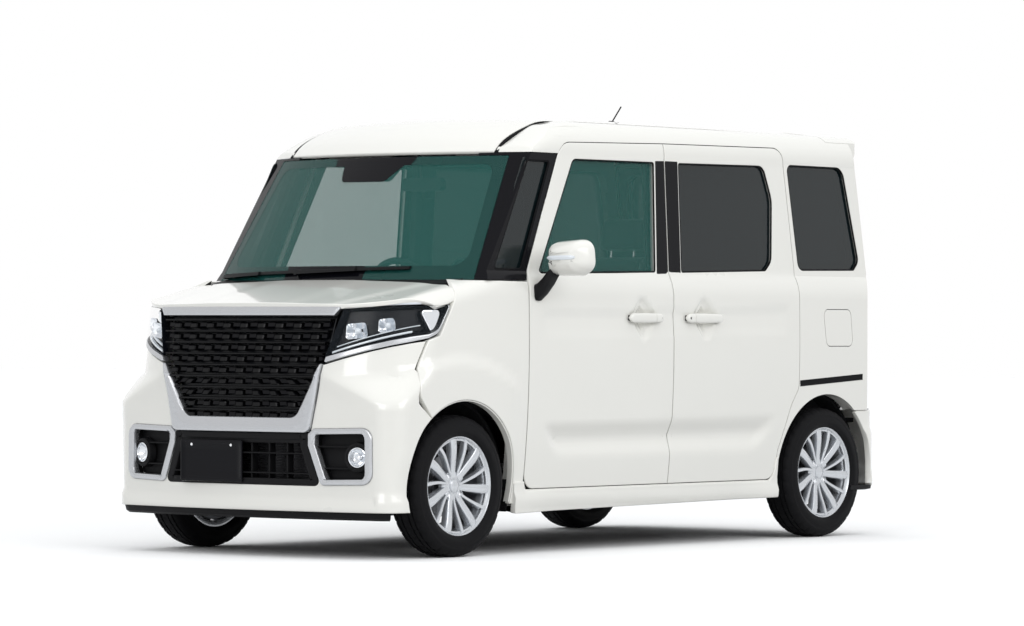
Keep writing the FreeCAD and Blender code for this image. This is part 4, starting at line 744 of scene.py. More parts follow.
FINISH_OF_NODE = {
    PAINT: "body_sides roof_panel sliding_doors front_door_left front_door_right front_fenders bonnet "
           "tailgate fuel_lid front_bumper rear_bumper rear_spoiler side_skirts",
    UNDERSEAL: "floor_pan bulkhead wheelhouses",
    RUBBER: "tyre_front_left tyre_front_right tyre_rear_left tyre_rear_right",
    ALLOY: "wheel_front_left wheel_front_right wheel_rear_left wheel_rear_right",
    GLOSS: "windscreen_pillars door_mirror_left door_mirror_right",
    SMOKE: "radiator_grille",
    TRIM: "cowl lower_grille fog_lamp_bezels aerial steering_wheel wipers rear_wiper",
    SATIN: "grille_surround",
    CLEAR_GLASS: "windscreen door_window_left door_window_right",
    PRIVACY_GLASS: "side_windows tailgate_glass",
    LENS: "headlamp_lenses",
    LAMP_DARK: "headlamps",
    RED_LENS: "tail_lamps",
    CASTING: "knuckle_left knuckle_right engine_block",
    STEEL: "rear_axle front_suspension exhaust",
    CORE: "radiator",
    CLOTH: "front_seats rear_seats",
    DASH: "dashboard room_mirror",
    TANK: "fuel_tank",
}
for finish, names in FINISH_OF_NODE.items():
    for title in names.split():
        if title in nodes:
            mesh = nodes[title].data
            mesh.materials.clear()
            mesh.materials.append(finish)
            for polygon in mesh.polygons:
                polygon.use_smooth = True
            mesh.set_sharp_from_angle(angle=math.radians(28))


# ---- floor, lamps and camera
def background_rays(tree):
    """1 for the rays that show the plain white background: straight to the eye, in gloss or through glass."""
    ray = tree.nodes.new("ShaderNodeLightPath")
    both = add(tree, "ShaderNodeMath", [(0, ray.outputs["Is Camera Ray"]), (1, ray.outputs["Is Glossy Ray"])],
               operation="MAXIMUM")
    every = add(tree, "ShaderNodeMath", [(0, both.outputs[0]), (1, ray.outputs["Is Transmission Ray"])],
                operation="MAXIMUM")
    return every.outputs[0]


def link_to_scene(name, data):
    holder = bpy.data.objects.new(name, data)
    bpy.context.scene.collection.objects.link(holder)
    return holder


def studio_floor():
    """A pale floor that keeps the car's shadow and shows plain white to the eye."""
    size = 60.0
    mesh = bpy.data.meshes.new("studio_floor")
    mesh.from_pydata([(-size, -size, 0), (size, -size, 0), (size, size, 0), (-size, size, 0)], [],
                     [(0, 1, 2, 3)])
    floor = link_to_scene("studio_floor", mesh)
    material = bpy.data.materials.new("pale_floor")
    material.use_nodes = True
    tree = material.node_tree
    shader = tree.nodes["Principled BSDF"]
    shader.inputs["Roughness"].default_value = 1.0
    shader.inputs["Specular IOR Level"].default_value = 0.0
    shade = tree.nodes.new("ShaderNodeMix")
    shade.data_type = "RGBA"
    shade.inputs["A"].default_value = (0.42, 0.42, 0.42, 1)
    shade.inputs["B"].default_value = (0.98, 0.98, 0.98, 1)
    tree.links.new(background_rays(tree), shade.inputs["Factor"])
    tree.links.new(shade.outputs["Result"], shader.inputs["Base Color"])
    mesh.materials.append(material)


def studio_world():
    """Soft light from all round, brighter from above, on a plain white background."""
    world = bpy.data.worlds.new("studio_world")
    bpy.context.scene.world = world
    world.use_nodes = True
    tree = world.node_tree
    tree.nodes.clear()
    place = tree.nodes.new("ShaderNodeTexCoord")
    split = add(tree, "ShaderNodeSeparateXYZ", [(0, place.outputs["Generated"])])
    rise = add(tree, "ShaderNodeMapRange", [("Value", split.outputs["Z"]), ("From Min", 0.0), ("From Max", 0.6),
                                            ("To Min", 0.37), ("To Max", 1.15)])
    sky = add(tree, "ShaderNodeBackground", [("Strength", rise.outputs[0]), ("Color", (0.97, 0.985, 1.0, 1))])
    white = add(tree, "ShaderNodeBackground", [("Strength", 1.0), ("Color", (1, 1, 1, 1))])
    mix = add(tree, "ShaderNodeMixShader", [(0, background_rays(tree)), (1, sky.outputs[0]),
                                            (2, white.outputs[0])])
    add(tree, "ShaderNodeOutputWorld", [("Surface", mix.outputs[0])]).is_active_output = True


def studio_lamps():
    # columns: name, place, aim, width, depth, watts
    for name, place, aim, width, depth, power in (
            ("front_box", (8.5, 3.0, 3.6), (0.9, 0, 0.7), 3.6, 3.6, 118),
            ("side_box", (1.5, 8.5, 4.2), (0, 0.4, 0.9), 7.0, 3.5, 190)):
        lamp = bpy.data.lights.new(name, "AREA")
        lamp.shape = "RECTANGLE"
        lamp.size, lamp.size_y, lamp.energy = width, depth, power
        holder = link_to_scene(name, lamp)
        holder.location = place
        holder.rotation_euler = (Vector(aim) - Vector(place)).to_track_quat("-Z", "Y").to_euler()


def studio_camera():
    camera = bpy.data.cameras.new("camera")
    camera.sensor_width, camera.lens = 36.0, 163.54
    camera.clip_end = 200
    holder = link_to_scene("camera", camera)
    place = (15.1754, 12.3550, 0.8921)
    yaw, pitch, roll = math.radians(39.118), math.radians(-0.2028), math.radians(0.164)
    look = Vector((-math.cos(yaw) * math.cos(pitch), -math.sin(yaw) * math.cos(pitch), -math.sin(pitch)))
    turn = look.to_track_quat("-Z", "Y").to_matrix().to_4x4()
    holder.matrix_world = Matrix.Translation(place) @ turn @ Matrix.Rotation(roll, 4, "Z")
    bpy.context.scene.camera = holder
    bpy.context.scene.view_settings.view_transform = "Standard"


studio_floor()
studio_world()
studio_lamps()
studio_camera()


# ---- wheels and tyres
RIM_EDGE, TYRE_RADIUS, TYRE_HALF = 0.1955, WHEEL_Z, (front_box[1].y - front_box[0].y) / 2
SPOKES = 7
NUTS = [(0.050 * math.cos(a), 0, 0.050 * math.sin(a))
        for a in (math.pi / 4 + k * math.pi / 2 for k in range(4))]


def tyre_shape():
    """A radial tyre with three grooves, cross cuts in its ribs and a ribbed sidewall, turned about Y."""
    top = TYRE_RADIUS
    # columns: distance from the middle, radius, depth of the cross cuts
    half = [(0.0035, top, 0.004), (0.0150, top - 0.0002, 0.004), (0.0160, top - 0.0065, 0),
            (0.0215, top - 0.0065, 0), (0.0225, top - 0.0004, 0.004), (0.0380, top - 0.0012, 0.004),
            (0.0390, top - 0.0075, 0), (0.0440, top - 0.0075, 0), (0.0450, top - 0.0020, 0.005),
            (0.0580, top - 0.0060, 0.005), (0.0640, top - 0.0110, 0.004), (0.0690, top - 0.0190, 0.0),
            (0.0727, top - 0.0290, 0), (0.0733, top - 0.0310, 0), (0.0727, top - 0.0325, 0),
            (0.0755, top - 0.0420, 0), (TYRE_HALF, top - 0.0580, 0), (0.0766, top - 0.0680, 0),
            (0.0748, top - 0.0700, 0), (0.0735, top - 0.0745, 0), (0.0690, top - 0.0805, 0),
            (0.0650, RIM_EDGE - 0.0005, 0), (0.0570, RIM_EDGE - 0.0030, 0), (0.0520, RIM_EDGE - 0.0170, 0)]
    profile = [(-y, r, cut) for y, r, cut in reversed(half)] + half
    steps, cut_every = 224, 7
    verts = []
    for k, (c, s) in enumerate(circle(steps)):
        for y, r, cut in profile:
            lag = int(abs(y) * 90)
            notch = cut if (k + lag) % cut_every == 0 else 0.0
            verts.append(((r - notch) * c, y, (r - notch) * s))
    count = len(profile)
    faces = []
    for k in range(steps):
        here, there = k * count, (k + 1) % steps * count
        faces.extend((here + i, here + (i + 1) % count, there + (i + 1) % count, there + i)
                     for i in range(count))
    return Shape().add(verts, faces)


def spoke(root_angle, rim_angle, root_half, rim_half, depth):
    """One spoke with a crowned face and sloping flanks."""
    sections = []
    for t in between(0, 1, 12):
        radius = 0.034 + (0.1865 - 0.034) * t
        angle = root_angle + (rim_angle - root_angle) * t ** 0.85
        half = root_half + (rim_half - root_half) * t
        face = 0.0385 + 0.0215 * float(smooth(t * 1.1)) - 0.002 * t
        outward = Vector((math.sin(angle), 0, math.cos(angle)))
        across = Vector((math.cos(angle), 0, -math.sin(angle)))
        section = []
        for q, drop in ((-1.18, depth), (-1.08, 0.008), (-0.94, 0.0016), (-0.80, 0.0), (0, -0.0012),
                        (0.80, 0.0), (0.94, 0.0016), (1.08, 0.008), (1.18, depth)):
            section.append(outward * radius + across * (q * half) + Vector((0, face - drop, 0)))
        sections.append(section)
    return skin(sections)


def wheel_faces():
    """Painted parts of the wheel: rim, spokes, hub and nut seats."""
    shape = lathe([(0.1700, -0.0600), (0.1870, -0.0640), (RIM_EDGE, -0.0640), (RIM_EDGE, -0.0610),
                   (0.1780, -0.0560), (0.1720, -0.0300), (0.1760, 0.0300), (0.1780, 0.0540), (0.1935, 0.0590),
                   (RIM_EDGE, 0.0625), (RIM_EDGE - 0.0010, 0.0655), (0.1920, 0.0660), (0.1885, 0.0630),
                   (0.1850, 0.0570), (0.1790, 0.0500), (0.1745, 0.0350), (0.1700, 0.0100), (0.1670, -0.0300)],
                  steps=112, closed=True)
    pitch = 2 * math.pi / SPOKES
    for k in range(SPOKES):
        angle = pitch * k + 0.12
        shape.join(spoke(angle - 0.03, angle + 0.02, 0.0135, 0.0190, 0.027))
        shape.join(spoke(angle + 0.30, angle + pitch * 0.5 + 0.05, 0.0050, 0.0085, 0.024))
    shape.join(lathe([(0.0, 0.010), (0.0600, 0.010), (0.0610, 0.026), (0.0560, 0.0330), (0.0420, 0.0375),
                      (0.0320, 0.0400), (0.0300, 0.0392), (0.0, 0.0392)], steps=56))
    for centre in NUTS:
        shape.join(lathe([(0.0150, 0.012), (0.0180, 0.030), (0.0172, 0.0400), (0.0155, 0.0415),
                          (0.0140, 0.0400), (0.0132, 0.0220)], centre, steps=28))
    return shape


def wheel_cap():
    return lathe([(0.0, 0.0455), (0.0120, 0.0450), (0.0200, 0.0436), (0.0252, 0.0412), (0.0262, 0.0385),
                  (0.0272, 0.0385), (0.0285, 0.0405), (0.0296, 0.0400), (0.0300, 0.0370)], steps=48)


def wheel_nuts():
    """Black cups in the nut holes, painted shade round a hexagon nut in each."""
    seats, nuts = Shape(), Shape()
    for centre in NUTS:
        seats.join(lathe([(0.0, 0.0245), (0.0136, 0.0245), (0.0141, 0.0385)], centre, steps=24))
        nuts.join(lathe([(0.0, 0.0400), (0.0045, 0.0396), (0.0085, 0.0375), (0.0090, 0.0250)], centre, steps=6))
    return seats, nuts


def wheel_back(front):
    """Barrel lining and the brake behind the spokes, in a dark copy of the alloy: painted shade inside the
    wheel.
    """
    lining = lathe([(0.1660, 0.0150), (0.1640, -0.0550), (0.1500, -0.0560)], steps=64)
    if front:
        lining.join(lathe([(0.0400, -0.0080), (0.0700, -0.0080), (0.0710, -0.0180)], steps=48))
    return lining


def brake(front):
    if front:
        return lathe([(0.0700, -0.0175), (0.0710, -0.0165), (0.1180, -0.0165), (0.1190, -0.0175),
                      (0.1190, -0.0330), (0.0700, -0.0330)], steps=72)
    return lathe([(0.0, 0.0060), (0.0600, 0.0060), (0.0650, -0.0050), (0.1040, -0.0080), (0.1100, -0.0130),
                  (0.1105, -0.0500), (0.0, -0.0500)], steps=72)


def wheel(corner, body, x, y, front):
    """A tyre and its wheel on their own body, at one corner."""
    turn = Matrix.Translation((x, y, WHEEL_Z))
    if y < 0:
        turn = turn @ Matrix.Rotation(math.pi, 4, "Z")
    tread = tyre_shape().turned(turn)
    tread.make("tread_and_sidewall_" + corner, RUBBER, "tyre", ["tyre_" + corner], body, 40)
    face = wheel_faces().turned(turn)
    face.make("alloy_wheel_" + corner, ALLOY, "alloy_silver", ["wheel_" + corner], body, 32)
    seats, nuts = wheel_nuts()
    # columns: shape, name, finish, angle at which its edges turn sharp
    for shape, name, finish, sharp in (
            # the nut seats are black cups: painted shade in the nut holes
            (wheel_cap(), "wheel_cap_", ALLOY, 35), (seats, "nut_holes_painted_shade_", GLOSS, 35),
            # the rim lining's dark alloy is painted shade inside the wheel
            (nuts, "wheel_nuts_", CHROME, 25), (wheel_back(front), "rim_lining_", ALLOY_BACK_SHADED, 35),
            (brake(front), "brake_", DISC_STEEL if front else STEEL, 35)):
        shape.turned(turn).make(name + corner, finish, "alloy_silver", body=body, sharp=sharp)


def wheels():
    for end, x, track in (("front", FRONT, TRACK_FRONT), ("rear", REAR, TRACK_REAR)):
        for side, y in (("left", track), ("right", -track)):
            wheel(f"{end}_{side}", f"{side}_{end}_wheel", x, y, end == "front")


wheels()


# ---- front end
def at_axle(points):
    """Side-view points measured ahead of the front axle, as row-frame points."""
    return [(FRONT + p[0], *p[1:]) for p in points]


def arch_points(centre, start, end, radius=ARCH, count=30):
    """Points on a wheel opening between two angles in degrees, seen from the left."""
    return [(centre + radius * math.cos(math.radians(start + (end - start) * i / count)),
             WHEEL_Z + radius * math.sin(math.radians(start + (end - start) * i / count)))
            for i in range(count + 1)]


def swage(x):
    """Shoulder line of the flared area round the front wheel: rises ahead and falls away behind."""
    t = (x - FRONT - 0.030) / 0.330
    return 0.782 - 0.085 * t * t


def flare(x, z):
    """How far the flared area over a front wheel stands out."""
    reach = math.hypot(x - FRONT, z - WHEEL_Z)
    below = smooth((swage(x) - z) / 0.026 + 0.2)
    along = smooth((x - FRONT + 0.390) / 0.12) * smooth((FRONT + 0.52 - x) / 0.18)
    low = smooth((z - 0.24) / 0.20)
    return float(0.0150 * below * along * low * smooth((0.66 - reach) / 0.16))


def fender_surface(x, z):
    return Vector((x, fender_y(x, z) + flare(x, z), z))


FENDER_EDGE = at_axle([(-0.4025, 0.200), (-0.4025, 1.0835, 0.004), (-0.020, 1.0885), (0.0215, 1.0655),
                       (0.0635, 0.9955), (0.1460, 0.8680, 0.01), (0.2075, 0.8500, 0.006),
                       (0.2612, 0.7370, 0.05), (0.2802, 0.6340, 0.05), (0.2050, 0.5500)])
SEAM = at_axle([(0.2118, 0.8500), (0.2650, 0.7370), (0.2840, 0.6340), (0.2085, 0.5460)])


def fenders():
    """Front wings: side skin with the flare and a rolled wheel opening."""
    rear_angle = math.degrees(math.asin((0.200 - WHEEL_Z) / ARCH))
    outline = rounded(FENDER_EDGE + arch_points(FRONT, 53.0, 180 - rear_angle))
    shape = panel(outline, fender_surface, (0, 1, 0), back=0.022, step=0.022)
    both_sides(shape, "front_wing_skin", PAINT, "body_paint", ["front_fenders"])
    sections = []
    for x, z in arch_points(FRONT, -12, 192, ARCH - 0.001, 48):
        inward = Vector((FRONT - x, 0, WHEEL_Z - z)).normalized()
        y = fender_y(x, z) + flare(x, z)
        base = Vector((x, y, z))
        sections.append([base + Vector((0, -0.004, 0)), base + inward * 0.004 + Vector((0, -0.006, 0)),
                         base + inward * 0.005 + Vector((0, -0.030, 0)), base + Vector((0, -0.030, 0))])
    lip = skin(sections)
    both_sides(lip, "front_wheel_opening_edge", PAINT, "body_paint")


FOG_EDGE = [(0.378, 0.505, 0.012), (0.353, 0.484, 0.008), (0.353, 0.440, 0.02), (0.414, 0.285, 0.024),
            (0.648, 0.291, 0.045), (0.646, 0.511, 0.045)]
INTAKE_EDGE = and_mirrored([(-0.3515, 0.4872, 0.004), (-0.3515, 0.440), (-0.4110, 0.283, 0.02)])
SURROUND_SIDE = list(zip(between(0.4235, 0.3625, 12), between(0.7555, 0.4870, 12)))


def front_loop(corners, side=1, step=0.02):
    """A loop on the front end from corners seen from ahead."""
    loop = rounded([(c[0] * side, *c[1:]) for c in corners], step)
    return [from_front(y, z) for y, z in loop]


def lamp_foot(y):
    """Height of the headlamp's lower edge, seen from ahead."""
    return 0.757 + (y - 0.424) * 0.307


def bumper_relief(flat):
    """The bumper's lip, its flared corners and the soft ledge under the intake."""
    heights = []
    for u, z in flat:
        s = abs(u) / S_SCALE
        point = clip_point(s, z)
        lip = 0.0085 * float(smooth((0.228 + 0.012 * smooth((s - 1.0) / 0.2) - z) / 0.008))
        ledge = 0.003 * float(
            smooth((z - 0.500) / 0.05) * smooth((0.72 - z) / 0.08)) * float(smooth((s - 0.75) / 0.2))
        heights.append(flare(point.x, z) * float(smooth((s - 1.35) / 0.5)) + lip + ledge - 0.007)
    return np.array(heights)


def bumper():
    """Front cover from one wheel opening to the other."""
    left = [from_side(x, z) for x, z in SEAM]
    arch = [from_side(x, z) for x, z in arch_points(FRONT, 49.0, -16.5, ARCH, 18)]
    rear_foot = from_side(FRONT + 0.330, 0.183)
    top = [from_front(y, lamp_foot(y) - 0.0035) for y in (0.730, 0.700, 0.650, 0.600, 0.550, 0.500, 0.4265)]
    u_side = [from_front(y, z) for y, z in SURROUND_SIDE]
    half = u_side[::-1] + top[::-1] + left + arch + [rear_foot]
    corners = [(u, z, {0: 0.008, 12: 0.020}.get(i, 0.0)) for i, (u, z) in enumerate(half)]
    outline = anticlockwise(rounded(and_mirrored(corners), 0.022))
    holes = [front_loop(FOG_EDGE, 1), front_loop(FOG_EDGE, -1), front_loop(INTAKE_EDGE)]
    shape = panel(outline, front_surface(0.001), (1, 0, 0), holes=holes, back=0.024, step=0.022,
                  bulge=bumper_relief)
    shape.make("front_bumper_cover", PAINT, "paint_plastic", ["front_bumper"])
    edge = ((0.182, 0.012), (0.160, 0.018), (0.152, 0.030), (0.160, 0.060), (0.182, 0.060))
    sections = [[clip_point(s, z, d) for z, d in edge] for s in between(-1.55, 1.55, 40)]
    skin(sections).make("bumper_under_lip", TRIM, "trim_black")


def grille_surround():
    """Bright frame: a bar over the grille and a deep U round it."""
    bow, inner_bow = (0.3600, 0.489, 0.030), (-0.290, 0.548, 0.045)
    loop = anticlockwise(
        front_loop(and_mirrored([(0.4200, 0.757), bow]) + and_mirrored([(-0.408, 0.757), inner_bow])))
    mouth = front_loop(and_mirrored([(-0.412, 0.765), inner_bow]))

    def crown(flat):
        reach = distance_to(mouth, flat, closed=False)
        width = 0.008 + 0.018 * smooth((0.60 - flat[:, 1]) / 0.05)
        return 0.004 - 0.0105 * (1 - np.clip(reach / width, 0, 1))

    shape = panel(loop, front_surface(-0.002), (1, 0, 0), back=0.030, step=0.012, hem=1.6, bulge=crown)
    shape.make("grille_frame", SATIN, "chrome_trim", ["grille_surround"])
    bar = [(-0.4530, 0.9440), (0.4530, 0.9440), (0.4830, 0.9800, 0.006), (-0.4830, 0.9800, 0.006)]
    loop = front_loop(bar)
    panel(loop, front_surface(-0.001), (1, 0, 0), back=0.030, step=0.012,
          hem=2.2).make("grille_top_bar", SATIN, "chrome_trim")


def grille_width(z):
    """Half width of the grille's mouth at a height."""
    return float(np.interp(z, [0.548, 0.757, 0.944], [0.292, 0.414, 0.446])) - 0.004


def front_strip(z, low, high, front, rear, thick, count=28):
    """A bar across the front end between two half widths, at a height."""
    sections = []
    edge = ((-0.5, rear), (-0.5, front + 0.004), (-0.30, front), (0.30, front), (0.5, front + 0.004),
            (0.5, rear))
    for y in between(low, high, count):
        s = from_front(y, z)[0] / S_SCALE
        sections.append([clip_point(s, z, d) + Vector((0, 0, dz * thick)) for dz, d in edge])
    return skin(sections)


BAR_HEIGHTS = [0.575 + 0.044 * k for k in range(9)]


def grille():
    """Thin bars with two kinds of block in line between them: proud ones and higher, deeper ones."""
    bars, proud, deep = Shape(), Shape(), Shape()
    for z in BAR_HEIGHTS:
        reach = grille_width(z)
        bars.join(front_strip(z, -reach, reach, 0.0035, 0.044, 0.0085))
    for k in range(-1, 8):
        z = BAR_HEIGHTS[0] + 0.044 * (k + 0.5)
        reach = grille_width(z) - 0.003
        lean = 1.0 + 0.030 * (k - 7) / 7
        for j in range(-5, 6):
            for shape, shift, half, rise, front in (
                    (proud, 0.0, 0.0190, 0.0, 0.0070), (deep, 0.046, 0.0215, 0.004, 0.019)):
                low, high = (0.092 * j + shift - half) * lean, (0.092 * j + shift + half) * lean
                low, high = max(low, -reach), min(high, reach)
                if high - low > 0.010:
                    shape.join(grille_block(z + rise, low, high, front))
    bars.make("grille_bars", SMOKE, "gloss_black", ["radiator_grille"])
    proud.make("grille_proud_blocks", SMOKE, "gloss_black", sharp=20)
    deep.make("grille_deep_blocks", GLOSS, "gloss_black", sharp=20)
    mouth = [(-0.412, 0.757), (-0.286, 0.552, 0.045), (0.286, 0.552, 0.045), (0.412, 0.757), (0.448, 0.944),
             (-0.448, 0.944)]
    loop = anticlockwise(front_loop(mouth, step=0.03))
    panel(loop, front_surface(0.046), (1, 0, 0), back=0.006,
          step=0.04).make("grille_back", LAMP_DARK, "gloss_black")


def grille_block(z, low, high, front):
    """One block of the grille: a flat face with chamfered edges, drawn back at both ends."""
    sections = []
    for y, draw, half in ((low, 0.026, 0.0085), (low + 0.0004, 0.0055, 0.0095), (low + 0.0042, 0.0, 0.0105),
                          (high - 0.0042, 0.0, 0.0105), (high - 0.0004, 0.0055, 0.0095), (high, 0.026, 0.0085)):
        s = from_front(y, z)[0] / S_SCALE
        sections.append([clip_point(s, z + dz * half, front + draw + d) for dz, d in (
            (-1, 0.020), (-1, 0.0030), (-0.72, 0.0), (0.66, 0.0018), (1, 0.0050), (1, 0.020))])
    return skin(sections)


def fog_lamps():
    """Bright bezels round dark ribbed recesses with round lamps."""
    frame_shape = panel(front_loop(FOG_EDGE), front_surface(0.0005), (1, 0, 0),
                        holes=[inset(front_loop(FOG_EDGE), 0.023)], back=0.030, step=0.012, hem=1.8)
    both_sides(frame_shape, "fog_lamp_frame", SATIN, "trim_black", ["fog_lamp_bezels"])
    recess = inset(front_loop(FOG_EDGE), 0.021)
    dish = panel(recess, front_surface(0.050), (1, 0, 0), back=0.004, step=0.03)
    dish.join(skin([[front_surface(d)(u, z) for u, z in recess] for d in (0.012, 0.030, 0.052)], cap=False))
    for z in (0.352, 0.436):
        dish.join(front_strip(z, 0.385, 0.624, 0.020, 0.050, 0.007, 12))
    centre = clip_point(from_front(0.569, 0.396)[0] / S_SCALE, 0.396, 0.0)
    lamp_axis = Matrix.Translation(centre + Vector((-0.026, 0, 0))) @ Matrix.Rotation(math.radians(14), 4, "Z")
    dish.join(lathe([(0.0400, 0.004), (0.0480, 0.010), (0.0560, 0.006), (0.0600, -0.020)], (0, 0, 0), "X", 48)
              .turned(lamp_axis))
    both_sides(dish, "fog_lamp_recess", TRIM, "trim_black")
    ring = lathe([(0.0330, 0.004), (0.0350, 0.010), (0.0385, 0.009), (0.0400, 0.002)], (0, 0, 0), "X", 48)
    ring.join(lathe([(0.0, -0.024), (0.016, -0.018), (0.030, -0.002), (0.0335, 0.003)], (0, 0, 0), "X", 48))
    both_sides(ring.turned(lamp_axis), "fog_lamp_reflector", REFLECTOR, "trim_black")
    glass = lathe([(0.0, 0.0105), (0.016, 0.0095), (0.028, 0.0065), (0.0335, 0.003)], (0, 0, 0), "X", 48)
    both_sides(glass.turned(lamp_axis), "fog_lamp_cover", LENS, "lamp_lens")
    bulb = lathe([(0.0, 0.000), (0.006, -0.002), (0.008, -0.008), (0.008, -0.020)], (0, 0, 0), "X", 24)
    both_sides(bulb.turned(lamp_axis), "fog_lamp_bulb", CHROME, "trim_black")


def lower_intake():
    """Dark frame, cross bars, posts and the radiator's fins behind them."""
    frame_shape = panel(front_loop(INTAKE_EDGE), front_surface(0.006), (1, 0, 0),
                        holes=[inset(front_loop(INTAKE_EDGE), 0.026)], back=0.05, step=0.02)
    for z in (0.330, 0.4075):
        frame_shape.join(front_strip(z, -0.360, 0.360, 0.006, 0.030, 0.006, 20))
    frame_shape.join(front_strip(0.462, -0.325, 0.325, 0.010, 0.040, 0.030, 20))
    for y in (-0.25, -0.13, 0.06, 0.15, 0.24):
        x = clip_point(from_front(y, 0.38)[0] / S_SCALE, 0.38).x
        frame_shape.join(rounded_box((x - 0.055, y - 0.004, 0.285), (x - 0.020, y + 0.004, 0.476), 0.0015, 1))
    frame_shape.make("lower_intake_frame", TRIM, "trim_black", ["lower_grille"])
    fins = Shape()
    x = FRONT + 0.440
    for k in range(30):
        z = 0.288 + 0.0062 * k
        fins.add([(x, -0.36, z), (x, 0.36, z), (x - 0.012, 0.36, z + 0.0022), (x - 0.012, -0.36, z + 0.0022)],
                 [(0, 1, 2, 3)])
    fins.add([(x - 0.013, -0.38, 0.28), (x - 0.013, 0.38, 0.28), (x - 0.013, 0.38, 0.48),
              (x - 0.013, -0.38, 0.48)], [(0, 1, 2, 3)])
    fins.make("radiator_fins", CORE, "chassis_steel", sharp=0)


def blank_plate(name, low, high, reach, out, back, bolt_x, body):
    """A blank number plate with a rolled rim and two bolts. reach(z) is its place along the car."""
    loop = rounded(rectangle(*low, *high, 0.008), 0.02)
    plate = panel(loop, lambda y, z: Vector((reach(z), y, z)), (out, 0, 0),
                  pressed=[(inset(loop, 0.008), 0.0012, 0.002)], back=back, step=0.03)
    plate.make(name, GLOSS, "gloss_black", body=body)
    bolts = Shape()
    for y in (low[0] + 0.060, high[0] - 0.060):
        head = [(0.0, 0.0025 * out), (0.004, 0.002 * out), (0.006, 0.0)]
        bolts.join(lathe(head, (bolt_x, y, high[1] - 0.020), "X", 16))
    return bolts


def number_plate():
    x = FRONT + 0.5125
    bolts = blank_plate("number_plate", (-0.300, 0.290), (0.030, 0.455), lambda z: x - 0.0005 * abs(z - 0.37),
                        1, 0.004, x, "car_body")
    bolts.make("plate_bolts", CHROME, "chrome_trim")


def bonnet_edge(s):
    """Where the bonnet's surface meets the front end: (x, y)."""
    z = 1.0
    for _ in range(12):
        point = clip_point(s, z)
        z = crown_z(point.x, point.y)
    return point.x, point.y


def bonnet():
    """Bonnet skin with its rolled leading edge and two soft creases."""
    front = [bonnet_edge(s) for s in between(-2.14, 2.14, 64)]
    rear_x = FRONT + 0.026
    loop = anticlockwise(front + [(rear_x, -y) for y in np.linspace(
        -front[-1][1] + 0.002, front[-1][1] - 0.002, 44)])

    def crease(flat):
        x, y = flat[:, 0] - FRONT, np.abs(flat[:, 1])
        edge = 0.600 - 0.28 * x
        return -0.0035 + 0.0035 * smooth((edge - y) / 0.05) + 0.002 * smooth((0.30 - y) / 0.12)

    shape = panel(loop, bonnet_surface(0.0015), (0, 0, 1), back=0.020, step=0.022, bulge=crease, sheet=False)
    shape.make("bonnet_skin", PAINT, "body_paint", ["bonnet"], "engine_lid")


def lamp_loop(raise_by=0.0, shrink=0.0):
    """The headlamp's outline on the front end, with its foot raised and its edge drawn in."""
    corners = [(*from_front(0.4875, 0.977), 0.012), (*from_front(0.4265, 0.760 + raise_by), 0.006)]
    corners += [(*from_front(y, lamp_foot(y) + 0.001 + raise_by), 0.0) for y in (0.50, 0.58, 0.65, 0.70)]
    corners += [(*from_side(FRONT + 0.206 - 0.2 * raise_by, 0.856 + 0.8 * raise_by), 0.02),
                (*from_side(FRONT + 0.152, 0.876 + 0.7 * raise_by), 0.05),
                (*from_side(FRONT + 0.078 + 0.3 * raise_by, 0.990), 0.010),
                (*from_side(FRONT + 0.200, 0.9865), 0.0), (*from_front(0.60, 0.9815), 0.0)]
    loop = anticlockwise(rounded(corners, 0.018))
    return inset(loop, shrink) if shrink else loop


